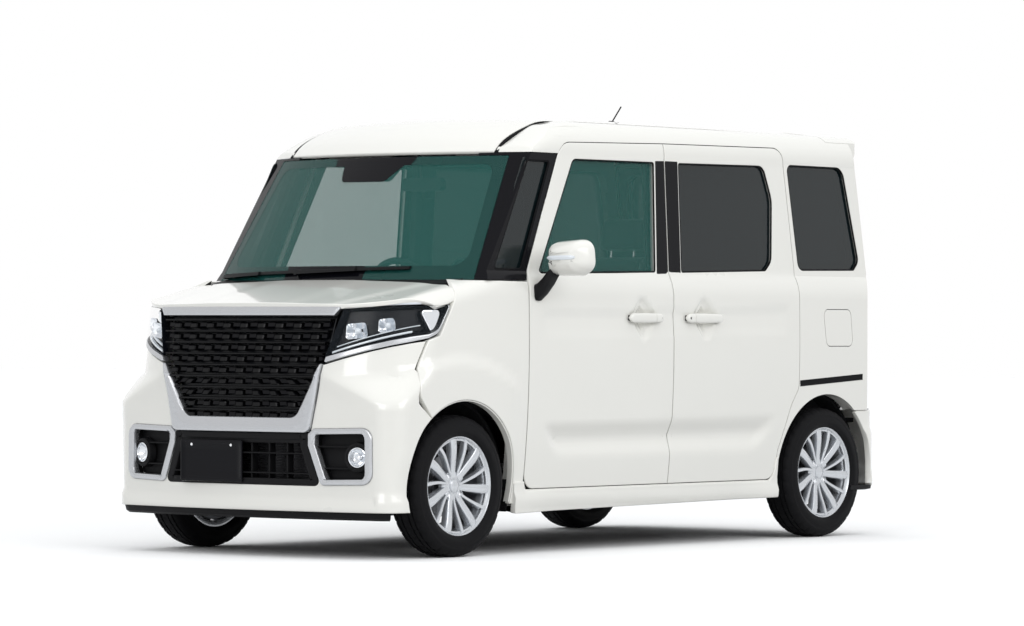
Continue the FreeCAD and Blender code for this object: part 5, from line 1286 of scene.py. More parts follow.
def headlamps():
    """Clear covers over dark bowls with lenses, light guides and a bright lower strip."""
    cover = lamp_loop(0.020, 0.0015)
    lens = panel(cover, front_surface(0.001), (1, 0, 0), back=0.006, step=0.018)
    both_sides(lens, "headlamp_cover", LENS, "lamp_lens", ["headlamp_lenses"])
    strip_loop, hole = lamp_loop(0.0, 0.0015), lamp_loop(0.0215, 0.0)
    strip = panel(strip_loop, front_surface(0.0005), (1, 0, 0), holes=[inset(hole, 0.0005)], back=0.03,
                  step=0.012, hem=0.8)
    both_sides(strip, "headlamp_strip", SATIN, "chrome_trim", ["headlamps"])
    edge = lamp_loop(0.020, 0.003)
    bowl = skin([[front_surface(depth)(u, z) for u, z in inset(edge, draw)]
                 for depth, draw in ((0.004, 0.0), (0.030, 0.004), (0.052, 0.012))], cap=False)
    bowl.join(panel(inset(edge, 0.0115), front_surface(0.052), (1, 0, 0), back=0.0, step=0.03))
    both_sides(bowl, "headlamp_bowl", LAMP_DARK, "lamp_case")
    guides, bright, balls = Shape(), Shape(), Shape()
    rod = ((-1, 0.012), (-1, 0.002), (-0.4, 0), (0.4, 0), (1, 0.002), (1, 0.012))
    # columns: inner and outer half widths, rise above the lamp's foot at both ends, half height, depth
    for low, high, rise, rise_out, thick, front in (
            (0.455, 0.700, 0.034, 0.040, 0.0042, 0.012), (0.470, 0.716, 0.052, 0.060, 0.0022, 0.018),
            (0.492, 0.712, 0.204, 0.150, 0.0070, 0.010)):
        sections = []
        for y, lift in zip(between(low, high, 28), between(rise, rise_out, 28)):
            z = lamp_foot(y) + lift
            s = from_front(y, z)[0] / S_SCALE
            sections.append([clip_point(s, z + dz * thick, front + d) for dz, d in rod])
        guides.join(skin(sections))
    both_sides(guides, "headlamp_light_guides", LIGHT_GUIDE, "lamp_case")
    # columns: place across and up, half width, half height of each square reflector bowl
    for y, z, wide, high in ((0.540, 0.884, 0.046, 0.034), (0.636, 0.906, 0.036, 0.030)):
        centre = clip_point(from_front(y, z)[0] / S_SCALE, z, 0.022)
        turn = Matrix.Translation(centre) @ Matrix.Rotation(math.radians(22), 4, "Z")
        ring = rounded([(-wide, -high, 0.012), (wide, -high * 0.7, 0.016), (wide * 0.8, high, 0.012),
                        (-wide * 0.9, high * 0.8, 0.012)], 0.008, 5)
        bowl_rings = [[(depth, u, v) for u, v in inset(ring, draw)] for draw, depth in (
            (-0.001, -0.004), (0.0, 0.000), (0.001, -0.001), (0.007, -0.010), (0.016, -0.020), (0.024, -0.024))]
        bright.join(skin(bowl_rings, cap=False).turned(turn))
        balls.join(lathe([(0.0, 0.004), (0.006, 0.0028), (0.0105, -0.002), (0.0125, -0.010), (0.0125, -0.024)],
                         (0, 0, 0), "X", 28).turned(turn))
    outer = [(*from_side(FRONT + 0.190, 0.885), 0.01), (*from_side(FRONT + 0.232, 0.968), 0.012),
             (*from_side(FRONT + 0.118, 0.968), 0.02), (*from_side(FRONT + 0.152, 0.892), 0.02)]
    outer_loop = anticlockwise(rounded(outer, 0.015))
    bright.join(panel(outer_loop, front_surface(0.016), (1, 0, 0), back=0.02, step=0.02))
    both_sides(bright, "headlamp_reflectors", REFLECTOR, "lamp_case")
    both_sides(balls, "headlamp_projectors", LIGHT_GUIDE, "lamp_case")


fenders()
bumper()
grille_surround()
grille()
fog_lamps()
lower_intake()
number_plate()
bonnet()
headlamps()


# ---- doors and sides
SILL = 0.255
SPLIT = FRONT - 1.357
FRONT_DOOR = [(FRONT - 0.405, SILL, 0.06), (FRONT - 0.405, COWL, 0.3), (FRONT - 0.673, 1.650, 0.09),
              (SPLIT, 1.665), (SPLIT, SILL)]
SLIDE_DOOR = [(SPLIT, SILL), (SPLIT, 1.665), (REAR + 0.270, 1.673, 0.06), (REAR + 0.248, 1.493, 0.3),
              (REAR + 0.209, 1.151, 0.4), (REAR + 0.210, 0.645, 0.06), (REAR + 0.261, 0.572, 0.06),
              (REAR + 0.342, 0.381, 0.06), (REAR + 0.360, SILL, 0.06)]
FRONT_WINDOW = [(FRONT - 0.495, BELT - 0.008, 0.012), (FRONT - 0.747, HEADER - 0.017, 0.035),
                (FRONT - 1.288, HEADER - 0.015, 0.012), (FRONT - 1.271, BELT + 0.004, 0.012)]
SLIDE_WINDOW = [(FRONT - 1.446, BELT + 0.005, 0.012), (FRONT - 1.452, HEADER - 0.014, 0.012),
                (REAR + 0.406, HEADER - 0.008, 0.05), (REAR + 0.351, 1.448, 0.15), (REAR + 0.371, 1.183, 0.06),
                (REAR + 0.417, BELT + 0.018, 0.02)]


def side_depth(x, z):
    """How deep the waist band and the scoop lie under the door's plain surface."""
    back = FRONT - x
    top, foot = 0.514 + (back - 0.468) * 0.0079, 0.373
    t = np.clip((top - z) / (top - foot), 0, 1)
    valley = np.where(t < 0.42, t / 0.42, 1 - smooth((t - 0.42) / 0.58))
    lead = smooth((back - 0.468 - (top - z) * 0.93) / 0.075)
    trail = smooth((2.122 - (top - z) * 0.98 - back) / 0.095)
    band_top, band_foot = 0.962 + (back - 0.46) * 0.0148, 0.868 + (back - 0.46) * 0.0070
    ends = smooth((back - 0.475) / 0.05) * smooth((2.180 - back) / 0.05)
    fade = np.clip((z - band_foot) / (band_top - band_foot), 0, 1)
    band = smooth((band_top - z) / 0.009) * (0.25 + 0.75 * fade) * smooth((z - band_foot) / 0.006) * ends
    return 0.0240 * valley * lead * trail + 0.0062 * band


def side_relief(flat):
    return -side_depth(flat[:, 0], flat[:, 1])


HANDLE_Z = 0.941


def handle_dish(middle, z=HANDLE_Z):
    return rounded([(middle + 0.064, z + 0.006, 0.03), (middle + 0.018, z + 0.074, 0.035),
                    (middle - 0.012, z + 0.074, 0.03), (middle - 0.088, z + 0.004, 0.03),
                    (middle - 0.028, z - 0.078, 0.035), (middle + 0.004, z - 0.078, 0.03)])


def door_skin(name, corners, window, dish, bodies, swap):
    """Painted outer skin with its hemmed edge, pressings, handle dish and window frame."""
    outline = inset(rounded(corners), GAP)
    pressed = [(dish, 0.0160, 0.026), (inset(dish, 0.030), 0.0110, 0.020)]
    shape = panel(outline, side_surface(), (0, 1, 0), holes=[rounded(window)], pressed=pressed, back=0.026,
                  step=0.017, bulge=side_relief)
    return both_sides(shape, name, PAINT, "body_paint", swap, bodies)


def edge_strip(loop, depth, width, rise):
    """A soft strip that follows a loop on the side, width across and rise proud of its seat."""
    sections = []
    for (x, z), (xi, zi) in zip(loop, inset(loop, width)):
        a, b = (Vector((u, side_y(v) - depth - float(side_depth(u, v)), v)) for u, v in ((x, z), (xi, zi)))
        mid = (a + b) / 2
        up = Vector((0, rise, 0))
        sections.append([a - up * 0.6, a + up * 0.5, mid + up, b + up * 0.5, b - up * 0.6])
    sections.append(sections[0])
    return skin(sections, wrap=True, cap=False)


def seam(points, depth=0.0035, width=0.0040):
    """A dark line along the side through (x, z) points."""
    sections = []
    for i, (x, z) in enumerate(points):
        ahead, behind = points[min(i + 1, len(points) - 1)], points[max(i - 1, 0)]
        run = Vector((ahead[0] - behind[0], ahead[1] - behind[1])).normalized() * width / 2
        a = Vector((x - run.y, side_y(z + run.x) - depth, z + run.x))
        b = Vector((x + run.y, side_y(z - run.x) - depth, z - run.x))
        sections.append([a, b, b - Vector((0, 0.006, 0)), a - Vector((0, 0.006, 0))])
    return skin(sections)


def pull_handle(front, rear, key_end, z=HANDLE_Z):
    """Body-coloured bar over its dish, with a fixed end that carries the lock."""
    bar, fixed = Shape(), Shape()

    def run(start, end, shape, cap_front, cap_rear):
        sections = []
        for x in between(start, end, 22):
            share = (x - front) / (rear - front)
            half = 0.0205 - 0.0045 * abs(share - 0.42)
            pinch = 1.0
            for cap, distance in ((cap_front, abs(x - start)), (cap_rear, abs(end - x))):
                if cap:
                    pinch = min(pinch, math.sqrt(max(1 - (1 - min(distance / 0.022, 1)) ** 2, 0.02)))
            proud = 0.0235 * (0.55 + 0.45 * pinch) - 0.004 * abs(share - 0.5)
            root = 0.004
            sections.append([(x, side_y(z) + root + (proud - root) * (0.5 + 0.5 * squared(s, 0.8)),
                              z + squared(c, 0.55) * half * pinch) for c, s in circle(16)])
        shape.join(skin(sections))

    seam_x = rear + 0.055 if key_end == "rear" else front - 0.050
    if key_end == "rear":
        run(front, seam_x + 0.0008, bar, True, False)
        run(seam_x - 0.0008, rear, fixed, False, True)
        lock = rear + 0.022
    else:
        run(front, seam_x + 0.0008, fixed, True, False)
        run(seam_x - 0.0008, rear, bar, False, True)
        lock = front - 0.018
    feet = Shape()
    for x in (front - 0.022, rear + 0.022):
        feet.join(rounded_box((x - 0.014, side_y(z) - 0.012, z - 0.012),
                              (x + 0.014, side_y(z) + 0.010, z + 0.012), 0.004, 2))
    key = lathe([(0.0, 0.0010), (0.0045, 0.0012), (0.0060, 0.0)], (lock, side_y(z) + 0.0205, z), "Y", 20)
    return bar.join(fixed), feet, key


def doors():
    """Both door pairs: skins, seals, handles, window frames and inner trims."""
    # columns: name, outline, window, handle's front and rear end, the end with the lock, pocket, bodies, nodes
    for name, corners, window, front, rear, key_end, pocket, bodies, swap in (
            ("front_door_skin", FRONT_DOOR, FRONT_WINDOW, FRONT - 1.043, FRONT - 1.266, "rear",
             (FRONT - 1.25, 0.36, FRONT - 0.52, 0.62), ("left_front_door", "right_front_door"),
             (["front_door_left"], ["front_door_right"])),
            ("sliding_door_skin", SLIDE_DOOR, SLIDE_WINDOW, FRONT - 1.430, FRONT - 1.680, "front",
             (FRONT - 2.0, 0.42, FRONT - 1.48, 0.66), "car_body", ["sliding_doors"])):
        middle = (front + rear) / 2 + (0.010 if key_end == "rear" else -0.012)
        door_skin(name, corners, window, handle_dish(middle), bodies, swap)
        bar, feet, key = pull_handle(front, rear, key_end)
        stem = name.replace("_skin", "")
        both_sides(bar, stem + "_handle", PAINT, "body_paint", bodies=bodies)
        both_sides(feet, stem + "_handle_feet", TRIM, "trim_black", bodies=bodies)
        both_sides(key, stem + "_lock", GLOSS, "trim_black", bodies=bodies)
        hole = rounded(window)
        both_sides(edge_strip(inset(hole, -0.001), 0.0045, 0.007, 0.0035), stem + "_window_seal", SEAL,
                   "trim_black", bodies=bodies)
        outline = rounded(corners)
        inner = panel(inset(outline, 0.034), side_surface(0.056), (0, -1, 0), holes=[inset(hole, -0.014)],
                      pressed=[(rounded(rectangle(*pocket, 0.05)), 0.010, 0.03)], back=0.006, step=0.05)
        both_sides(inner, stem + "_inner_trim", DOOR_TRIM, "body_paint", bodies=bodies)
        # the inner edge takes the darker copy of the paint: painted shade in the shut line
        rim = ribbon(inset(outline, 0.031), side_surface(0.022), side_surface(0.056))
        both_sides(rim, stem + "_inner_edge", PAINT_INSIDE_SHADED, "body_paint", bodies=bodies)
        reveal = ribbon(inset(hole, -0.010), side_surface(0.018), side_surface(0.056))
        both_sides(reveal, stem + "_window_reveal", SEAL, "trim_black", bodies=bodies)
        both_sides(edge_strip(inset(outline, -0.0035), 0.0055, 0.008, 0.001), stem + "_edge_seal", SEAL,
                   "trim_black")


def pillar_covers():
    """Gloss covers on the pillars between the front and the sliding door's glass."""
    top = HEADER - 0.008
    for name, corners, bodies in (
            ("front_door_pillar_cover",
             [(FRONT - 1.2765, BELT - 0.002, 0.004), (FRONT - 1.2935, top - 0.002, 0.004),
              (SPLIT + 0.0035, top, 0.004), (SPLIT + 0.0035, BELT, 0.004)],
             ("left_front_door", "right_front_door")),
            ("sliding_door_pillar_cover",
             [(SPLIT - 0.0035, BELT + 0.001, 0.004), (SPLIT - 0.0035, top, 0.004),
              (FRONT - 1.4465, top, 0.004), (FRONT - 1.4405, BELT + 0.002, 0.004)],
             "car_body")):
        cover = panel(anticlockwise(rounded(corners)), side_surface(-0.0012), (0, 1, 0), back=0.004, step=0.03,
                      hem=0.5)
        both_sides(cover, name, GLOSS, "gloss_black", bodies=bodies)


MIRROR_INNER, MIRROR_OUTER = HALF + 0.030, HALF + 0.2145
MIRROR_X = FRONT - 0.556
MIRROR_BODIES = ("left_front_door", "right_front_door")


def mirror_shells():
    """Door mirrors: a rounded shell with its rolled mouth, and the glass."""
    corners = [(MIRROR_INNER + 0.004, 1.106, 0.030), (MIRROR_INNER, 1.243, 0.044),
               (MIRROR_OUTER - 0.010, 1.255, 0.052), (MIRROR_OUTER, 1.140, 0.048),
               (MIRROR_OUTER - 0.048, 1.106, 0.052)]
    loop = anticlockwise(rounded(corners, 0.02, 8))

    def ring(reach, draw, lean):
        share = [(y - MIRROR_INNER) / (MIRROR_OUTER - MIRROR_INNER) for y, _ in inset(loop, draw)]
        return [(MIRROR_X + reach * (1 - lean * t ** 2.2 if lean else 1) - 0.004 * t, y, z)
                for t, (y, z) in zip(share, inset(loop, draw))]

    # columns: reach ahead of the glass, how far the outline is drawn in
    rings = [ring(reach, draw, 0.42) for reach, draw in (
        (0.000, 0.0035), (0.004, 0.0008), (0.012, 0.0), (0.034, 0.001), (0.062, 0.005), (0.086, 0.013),
        (0.103, 0.025), (0.114, 0.040), (0.119, 0.052))]
    shell = skin(rings, cap=False)
    count = len(loop)
    shell.faces.append(tuple((len(rings) - 1) * count + i for i in range(count)))
    mouth = [ring(reach, draw, 0) for reach, draw in ((0.000, 0.0035), (0.0010, 0.0060), (0.0080, 0.0085))]
    shell.join(skin(mouth, cap=False))
    both_sides(shell, "door_mirror_shell", PAINT, "gloss_black", (["door_mirror_left"], ["door_mirror_right"]),
               MIRROR_BODIES)
    glass = Shape().add([(MIRROR_X + 0.006, y, z) for y, z in inset(loop, 0.0088)], [tuple(range(count))])
    both_sides(glass, "door_mirror_glass", MIRROR, "gloss_black", bodies=MIRROR_BODIES)


def mirror_lamps_and_feet():
    """The strip lamp across each mirror's shell, and the foot that carries the mirror on its door."""
    sections = []
    for i in range(19):
        t = 0.16 + 0.62 * i / 18
        y = MIRROR_INNER + (MIRROR_OUTER - MIRROR_INNER) * t
        x, z = MIRROR_X + 0.1185 * (1 - 0.42 * t ** 2.2), 1.176 + 0.004 * t
        half = 0.0085 * math.sqrt(max(1 - (2 * i / 18 - 1) ** 8, 0.05))
        sections.append([(x + dx, y, z + half * rise) for dx, rise in (
            (-0.008, -1), (0.0005, -1), (0.0022, -0.4), (0.0022, 0.4), (0.0005, 1), (-0.008, 1))])
    both_sides(skin(sections), "door_mirror_lamp", LIGHT_GUIDE, "gloss_black", bodies=MIRROR_BODIES)
    sections = []
    # columns: reach out from the side, foot and top height, front and rear end
    for reach, low, high, ahead, behind in (
            (-0.012, 1.008, 1.072, -0.436, -0.482), (0.006, 1.006, 1.078, -0.434, -0.482),
            (0.030, 1.030, 1.100, -0.438, -0.490), (0.052, 1.066, 1.128, -0.444, -0.502),
            (0.066, 1.100, 1.140, -0.450, -0.512)):
        sections.append([(FRONT + (ahead + behind) / 2 + (ahead - behind) / 2 * squared(c, 0.6), HALF + reach,
                          (low + high) / 2 + (high - low) / 2 * squared(s, 0.6)) for c, s in circle(16)])
    both_sides(skin(sections), "door_mirror_foot", TRIM, "gloss_black", bodies=MIRROR_BODIES)


def skirt():
    """Sill extension: a flared lower edge with a soft ridge that fades out rearwards."""
    corners = at_axle([(-0.346, 0.163), (-0.340, 0.286, 0.01), (-0.402, 0.289, 0.006),
                       (-0.4125, 0.2515, 0.055)])
    corners += [(REAR + 0.366, 0.2515, 0.055), (REAR + 0.353, 0.350, 0.008), (REAR + 0.3405, 0.352, 0.006),
                (REAR + 0.336, 0.182, 0.006)]
    loop = anticlockwise(rounded([(c[0], c[1], c[2] if len(c) > 2 else 0.006) for c in corners]))
    start, end = FRONT - 0.346, REAR + 0.336

    def flared(flat):
        x, z = flat[:, 0], flat[:, 1]
        low = 0.163 + 0.019 * (start - x) / (start - end)
        share = np.clip((z - low) / (0.2515 - low), 0, 1)
        ends = np.maximum(1 - (start - x) / 0.30, 0) + np.maximum(1 - (x - end) / 0.35, 0)
        ridge = smooth(1 - np.abs(share - 0.62 + 0.25 * np.clip((start - x) / 1.2, 0, 1)) * 2.4)
        return 0.007 + 0.007 * ridge + 0.014 * smooth(ends) * (1 - share) ** 0.7

    shape = panel(loop, side_surface(), (0, 1, 0), back=0.004, step=0.02, bulge=flared)
    sections = []
    for x, z in zip(between(start, end, 40), between(0.163, 0.182, 40)):
        sections.append([(x, side_y(z) + 0.006, z + 0.002), (x, side_y(z) - 0.050, z + 0.010),
                         (x, side_y(z) - 0.052, z + 0.040)])
    bottom = skin(sections, wrap=False)
    both_sides(shape, "side_skirt_skin", PAINT, "paint_plastic", ["side_skirts"])
    both_sides(bottom, "side_skirt_underside", TRIM, "trim_black")
    line = seam([(x, 0.2545) for x in between(FRONT - 0.400, REAR + 0.352, 30)], 0.010, 0.012)
    both_sides(line, "sill_seal", SEAL, "trim_black")


# columns: distance behind the windscreen's head, rise above it at the middle of the roof and at its ditches
ROOF_RISE = np.array([(0.0, 0.0, 0.0), (0.012, 0.017, 0.0165), (0.030, 0.036, 0.034), (0.060, 0.060, 0.055),
                      (0.100, 0.083, 0.0755), (0.140, 0.102, 0.092), (0.180, 0.118, 0.1065),
                      (0.220, 0.131, 0.1205), (0.260, 0.1415, 0.1325), (0.300, 0.147, 0.1375),
                      (0.360, 0.152, 0.1400), (0.520, 0.161, 0.1425), (0.730, 0.169, 0.1425),
                      (1.000, 0.176, 0.1425), (1.430, 0.1798, 0.1425), (2.100, 0.1760, 0.1400),
                      (2.420, 0.1690, 0.1350), (2.610, 0.1605, 0.1290)])


def roof_z(x, y):
    """Height of the roof: a rounded brow over the windscreen, then a long shallow crown."""
    back = screen_x(y, HEADER) + 0.004 - x
    middle, ditch = 0.0, 0.0
    for shift, share in ((-0.012, 0.25), (0.0, 0.5), (0.012, 0.25)):
        middle += share * float(np.interp(back + shift, ROOF_RISE[:, 0], ROOF_RISE[:, 1]))
        ditch += share * float(np.interp(back + shift, ROOF_RISE[:, 0], ROOF_RISE[:, 2]))
    return HEADER + 0.0015 + middle + (ditch - middle) * (abs(y) / 0.545) ** 2.2


def roof_surface(depth=0.0):
    return lambda x, y: Vector((x, y, roof_z(x, y) - depth))


def roof_line(x):
    """Height of the roof's middle."""
    return roof_z(x, 0.0)


def roof():
    """Roof skin between its ditches, with two long soft beads, and the dark strips in the ditches."""
    half = 0.5395
    rear = REAR - 0.1060
    front = [(screen_x(y, HEADER) + 0.003, y) for y in np.linspace(-half, half, 41)]
    loop = front + [(x, half) for x in np.linspace(front[-1][0] - 0.01, rear + 0.02, 90)]
    loop += [(rear, y) for y in np.linspace(half, -half, 41)]
    loop += [(x, -half) for x in np.linspace(rear + 0.02, front[-1][0] - 0.01, 90)]
    loop = anticlockwise(loop)

    def beads(flat):
        x, y = flat[:, 0], np.abs(flat[:, 1])
        along = smooth((FRONT - 0.95 - x) / 0.10) * smooth((x - REAR - 0.02) / 0.10)
        return -0.0035 * along * (np.exp(-((y - 0.215) / 0.016) ** 2) + np.exp(-((y - 0.40) / 0.016) ** 2))

    shape = panel(loop, roof_surface(), (0, 0, 1), back=0.014, step=0.026, bulge=beads)
    shape.make("roof_skin", PAINT, "body_paint", ["roof_panel"], sharp=50)
    strip, sections = Shape(), []
    y = 0.5460
    start, end = screen_x(y, HEADER) + 0.002, REAR - 0.104
    for i in range(110):
        x = start + (end - start) * (i / 109) ** 1.7
        z = roof_z(x, y) - 0.0015
        half_width = 0.0056 + 0.0050 * max(1 - i / 26, 0)
        sections.append([(x, y - half_width, z - 0.010), (x, y - half_width, z - 0.0012), (x, y, z),
                         (x, y + half_width, z - 0.0018), (x, y + half_width, z - 0.012)])
    strip.join(skin(sections))
    both_sides(strip, "roof_ditch_strip", SEAL, "trim_black")


def body_sides():
    """Body sides with the hard corner between the brow and the roof's edge rounded over."""
    base = FRONT + 0.033 - 0.676 * (HEADER - COWL)
    mesh = bmesh.new()
    mesh.from_mesh(nodes["body_sides"].data)
    mesh.transform(nodes["body_sides"].matrix_world)

    def near(point):
        return point.z > HEADER + 0.001 and point.x > base - 0.46 and abs(point.y) > 0.50

    for limit in (0.09, 0.045, 0.022, 0.013):
        bmesh.ops.triangulate(mesh, faces=[f for f in mesh.faces if any(near(v.co) for v in f.verts)])
        long_edges = [e for e in mesh.edges if e.calc_length() > limit and (
            near(e.verts[0].co) or near(e.verts[1].co) or near((e.verts[0].co + e.verts[1].co) / 2))]
        bmesh.ops.subdivide_edges(mesh, edges=long_edges, cuts=1)
    soft = 0.016
    for vert in mesh.verts:
        x, y, z = vert.co
        if not near(vert.co):
            continue
        slope = (side_y(z + 0.001) - side_y(z - 0.001)) / 0.002
        roof = ROOF + float(np.interp(FRONT - x, (-0.5, 0.56, 1.05), (-0.060, -0.046, -0.017)))
        flank = Vector((0, math.copysign(1, y), -slope)).normalized()
        brow = Vector((1, 0.52 * y, 2)).normalized()
        reach = ((x - (base - 0.26 * y * y - 2 * (z - HEADER))) / math.sqrt(5),
                 (abs(y) - side_y(z)) * abs(flank.y), z - roof)
        shares = [math.exp(min(d, 0.02) / soft) for d in reach]
        total = sum(shares)
        drop = soft * math.log(total) * float(smooth((z - HEADER) / 0.03))
        if drop > 0:
            pull = (brow * shares[0] + flank * shares[1] + Vector((0, 0, 1)) * shares[2]) / total
            vert.co = vert.co - pull.normalized() * drop
    bmesh.ops.triangulate(mesh, faces=mesh.faces[:])
    verts = [tuple(v.co) for v in mesh.verts]
    mesh.verts.index_update()
    faces = [tuple(v.index for v in f.verts) for f in mesh.faces]
    mesh.free()
    new_object("body_sides_skin", verts, faces, PAINT, "car_body", ["body_sides"], 28)


def quarter_details():
    """Sliding door rail, seams and the quarter window's seal."""
    rail = seam(list(zip(between(REAR + 0.204, REAR - 0.260, 12), between(0.6645, 0.6900, 12))), -0.0005, 0.026)
    both_sides(rail, "sliding_door_rail", SEAL, "trim_black")
    groove = seam(list(zip(between(REAR + 0.206, REAR - 0.246, 10), between(0.7985, 0.8025, 10))), 0.0008,
                  0.0032)
    both_sides(groove, "quarter_panel_seam", SEAL, "trim_black")
    window = rounded([(REAR + 0.180, BELT + 0.022, 0.04), (REAR + 0.240, HEADER + 0.002, 0.03),
                      (REAR - 0.179, HEADER + 0.001, 0.06), (REAR - 0.277, 1.191, 0.04),
                      (REAR - 0.236, BELT + 0.027, 0.02)])
    both_sides(edge_strip(window, 0.004, 0.007, 0.0035), "quarter_window_seal", SEAL, "trim_black")
    pillar = rounded(at_axle([(-0.214, BELT + 0.005, 0.015), (-0.455, HEADER - 0.028, 0.015),
                              (-0.600, HEADER - 0.028, 0.012), (-0.390, BELT + 0.005, 0.025)]))
    both_sides(edge_strip(pillar, 0.004, 0.006, 0.003), "pillar_window_seal", SEAL, "trim_black")
    lid = rounded([(REAR + 0.037, 0.984, 0.03), (REAR - 0.169, 0.984, 0.03), (REAR - 0.186, 0.822, 0.03),
                   (REAR + 0.014, 0.822, 0.03)])
    edge_strip(lid, 0.006, 0.004, 0.002).make("filler_lid_seal", SEAL, "trim_black")


doors()
pillar_covers()
mirror_shells()
mirror_lamps_and_feet()
skirt()
roof()
body_sides()
quarter_details()


# ---- windscreen
SCREEN = and_mirrored([(-0.674, COWL + 0.002), (-0.603, HEADER - 0.012)])


def windscreen_edge():
    """Black ceramic border round the windscreen, wider over the sensor."""
    outline = rounded([(y, z, 0.02) for y, z in SCREEN[::-1]])
    hole = rounded([(-0.624, COWL + 0.058, 0.05), (0.624, COWL + 0.058, 0.05), (0.560, HEADER - 0.046, 0.05),
                    (0.170, HEADER - 0.046), (0.105, HEADER - 0.112, 0.03), (-0.128, HEADER - 0.112, 0.03),
                    (-0.150, HEADER - 0.046), (-0.560, HEADER - 0.046, 0.05)])
    border = panel(anticlockwise(outline), screen_surface(-0.0008), (1, 0, 0), holes=[anticlockwise(hole)],
                   back=0.0006, step=0.05, hem=0.1)
    border.make("windscreen_border", GLOSS, "gloss_black")


def cowl_cover():
    """Grained cover under the wipers."""
    sections = []
    for y in between(-0.655, 0.655, 48):
        foot = screen_x(y, COWL + 0.004) + 0.002
        front_x = max(FRONT + 0.022 - 0.10 * max(abs(y) - 0.45, 0), foot + 0.004)
        top = crown_z(front_x, y) - 0.010
        sections.append([(foot, y, COWL + 0.003), (foot + 0.006, y, COWL - 0.002),
                         (foot * 0.4 + front_x * 0.6, y, top - 0.004), (front_x, y, top - 0.012)])
    skin(sections, wrap=False).make("cowl_cover", TRIM, "trim_black")


windscreen_edge()
cowl_cover()


# ---- tail
GATE_HALF = 0.640
GATE_EDGE = and_mirrored([(-GATE_HALF, 1.6475, 0.01), (-GATE_HALF, 0.898, 0.02), (-0.551, 0.898, 0.03),
                          (-0.551, 0.5505, 0.01)])
GATE_WINDOW = [(-0.600, BELT + 0.045, 0.04), (0.600, BELT + 0.045, 0.04), (0.560, HEADER - 0.015, 0.04),
               (-0.560, HEADER - 0.015, 0.04)]
PLATE_AREA = [(-0.235, 0.655, 0.03), (0.235, 0.655, 0.03), (0.250, 0.868, 0.03), (-0.250, 0.868, 0.03)]


def tail_gate():
    """Tailgate: pressed skin, inner trim and the black border of its glass."""
    outline, hole = rounded(GATE_EDGE), rounded(GATE_WINDOW)

    def relief(flat):
        y, z = np.abs(flat[:, 0]), flat[:, 1]
        waist = smooth((1.000 - z) / 0.03) * smooth((z - 0.900) / 0.02)
        fold = smooth((0.640 - z) / 0.04)
        return -0.004 * waist - 0.006 * fold + 0.002 * smooth((0.45 - y) / 0.2)

    skin_shape = panel(inset(outline, 0.0016), tail_surface(), (-1, 0, 0), holes=[hole],
                       pressed=[(rounded(PLATE_AREA), 0.016, 0.022)], back=0.022, step=0.024, bulge=relief)
    skin_shape.make("tailgate_skin", PAINT, "body_paint", ["tailgate"], "rear_gate")
    inner = panel(inset(outline, 0.024), tail_surface(0.034), (1, 0, 0), holes=[inset(hole, -0.012)],
                  pressed=[(rounded(rectangle(-0.40, 0.62, 0.40, 0.86, 0.05)), 0.008, 0.02)], back=0.012,
                  step=0.05)
    inner.make("tailgate_inner_trim", DOOR_TRIM, "body_paint", body="rear_gate")
    # the inner edge takes the darker copy of the paint: painted shade in the shut line
    ribbon(inset(outline, 0.020), tail_surface(0.012), tail_surface(0.034)).make(
        "tailgate_inner_edge", PAINT_INSIDE_SHADED, "body_paint", body="rear_gate")
    border = panel(inset(hole, -0.004), tail_surface(0.0012), (-1, 0, 0), holes=[inset(hole, 0.030)],
                   back=0.006, step=0.03, hem=0.4)
    border.make("tailgate_glass_border", GLOSS, "gloss_black", body="rear_gate")


def tail_gate_fittings():
    """On the tailgate: handle bar, plate and its lamps, high stop lamp and the heater's lines."""
    sections = []
    for y in between(-0.300, 0.300, 30):
        pinch = math.sqrt(max(1 - abs(y / 0.300) ** 6, 0.04))
        x = tail_x(y, 0.885) + 0.002
        sections.append([(x - draw * pinch, y, 0.885 + rise * pinch) for draw, rise in (
            (0, -0.017), (0.011, -0.015), (0.016, 0), (0.011, 0.015), (0, 0.017))])
    skin(sections).make("tailgate_handle_bar", SATIN, "chrome_trim", body="rear_gate")
    lights = Shape()
    for y in (-0.12, 0.12):
        x = tail_x(y, 0.85) + 0.014
        lights.join(rounded_box((x - 0.012, y - 0.028, 0.846), (x, y + 0.028, 0.860), 0.003, 2))
    lights.make("plate_lamps", LIGHT_GUIDE, "chrome_trim", body="rear_gate")
    foot = tail_x(0, 0.75) + 0.0105
    bolts = blank_plate("rear_number_plate", (-0.165, 0.672), (0.165, 0.837),
                        lambda z: foot + 0.004 * (z - 0.75), -1, 0.003, foot + 0.004 * 0.067, "rear_gate")
    bolts.make("rear_plate_bolts", CHROME, "chrome_trim", body="rear_gate")
    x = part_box("rear_spoiler")[0].x
    rounded_box((x - 0.0015, -0.150, 1.690), (x + 0.012, 0.150, 1.704), 0.003, 2).make(
        "high_stop_lamp", RED_LENS, "tail_lens", body="rear_gate")
    heater = Shape()
    for k in range(9):
        z = 1.21 + 0.042 * k
        half = 0.545 - 0.025 * k / 8
        points = [tail_surface(0.0052)(y, z) for y in np.linspace(-half, half, 17)]
        heater.join(skin([[p, p + Vector((0, 0, 0.0012)), p + Vector((0.0004, 0, 0.0006))] for p in points]))
    heater.make("rear_glass_heater", TRIM, "gloss_black", body="rear_gate")


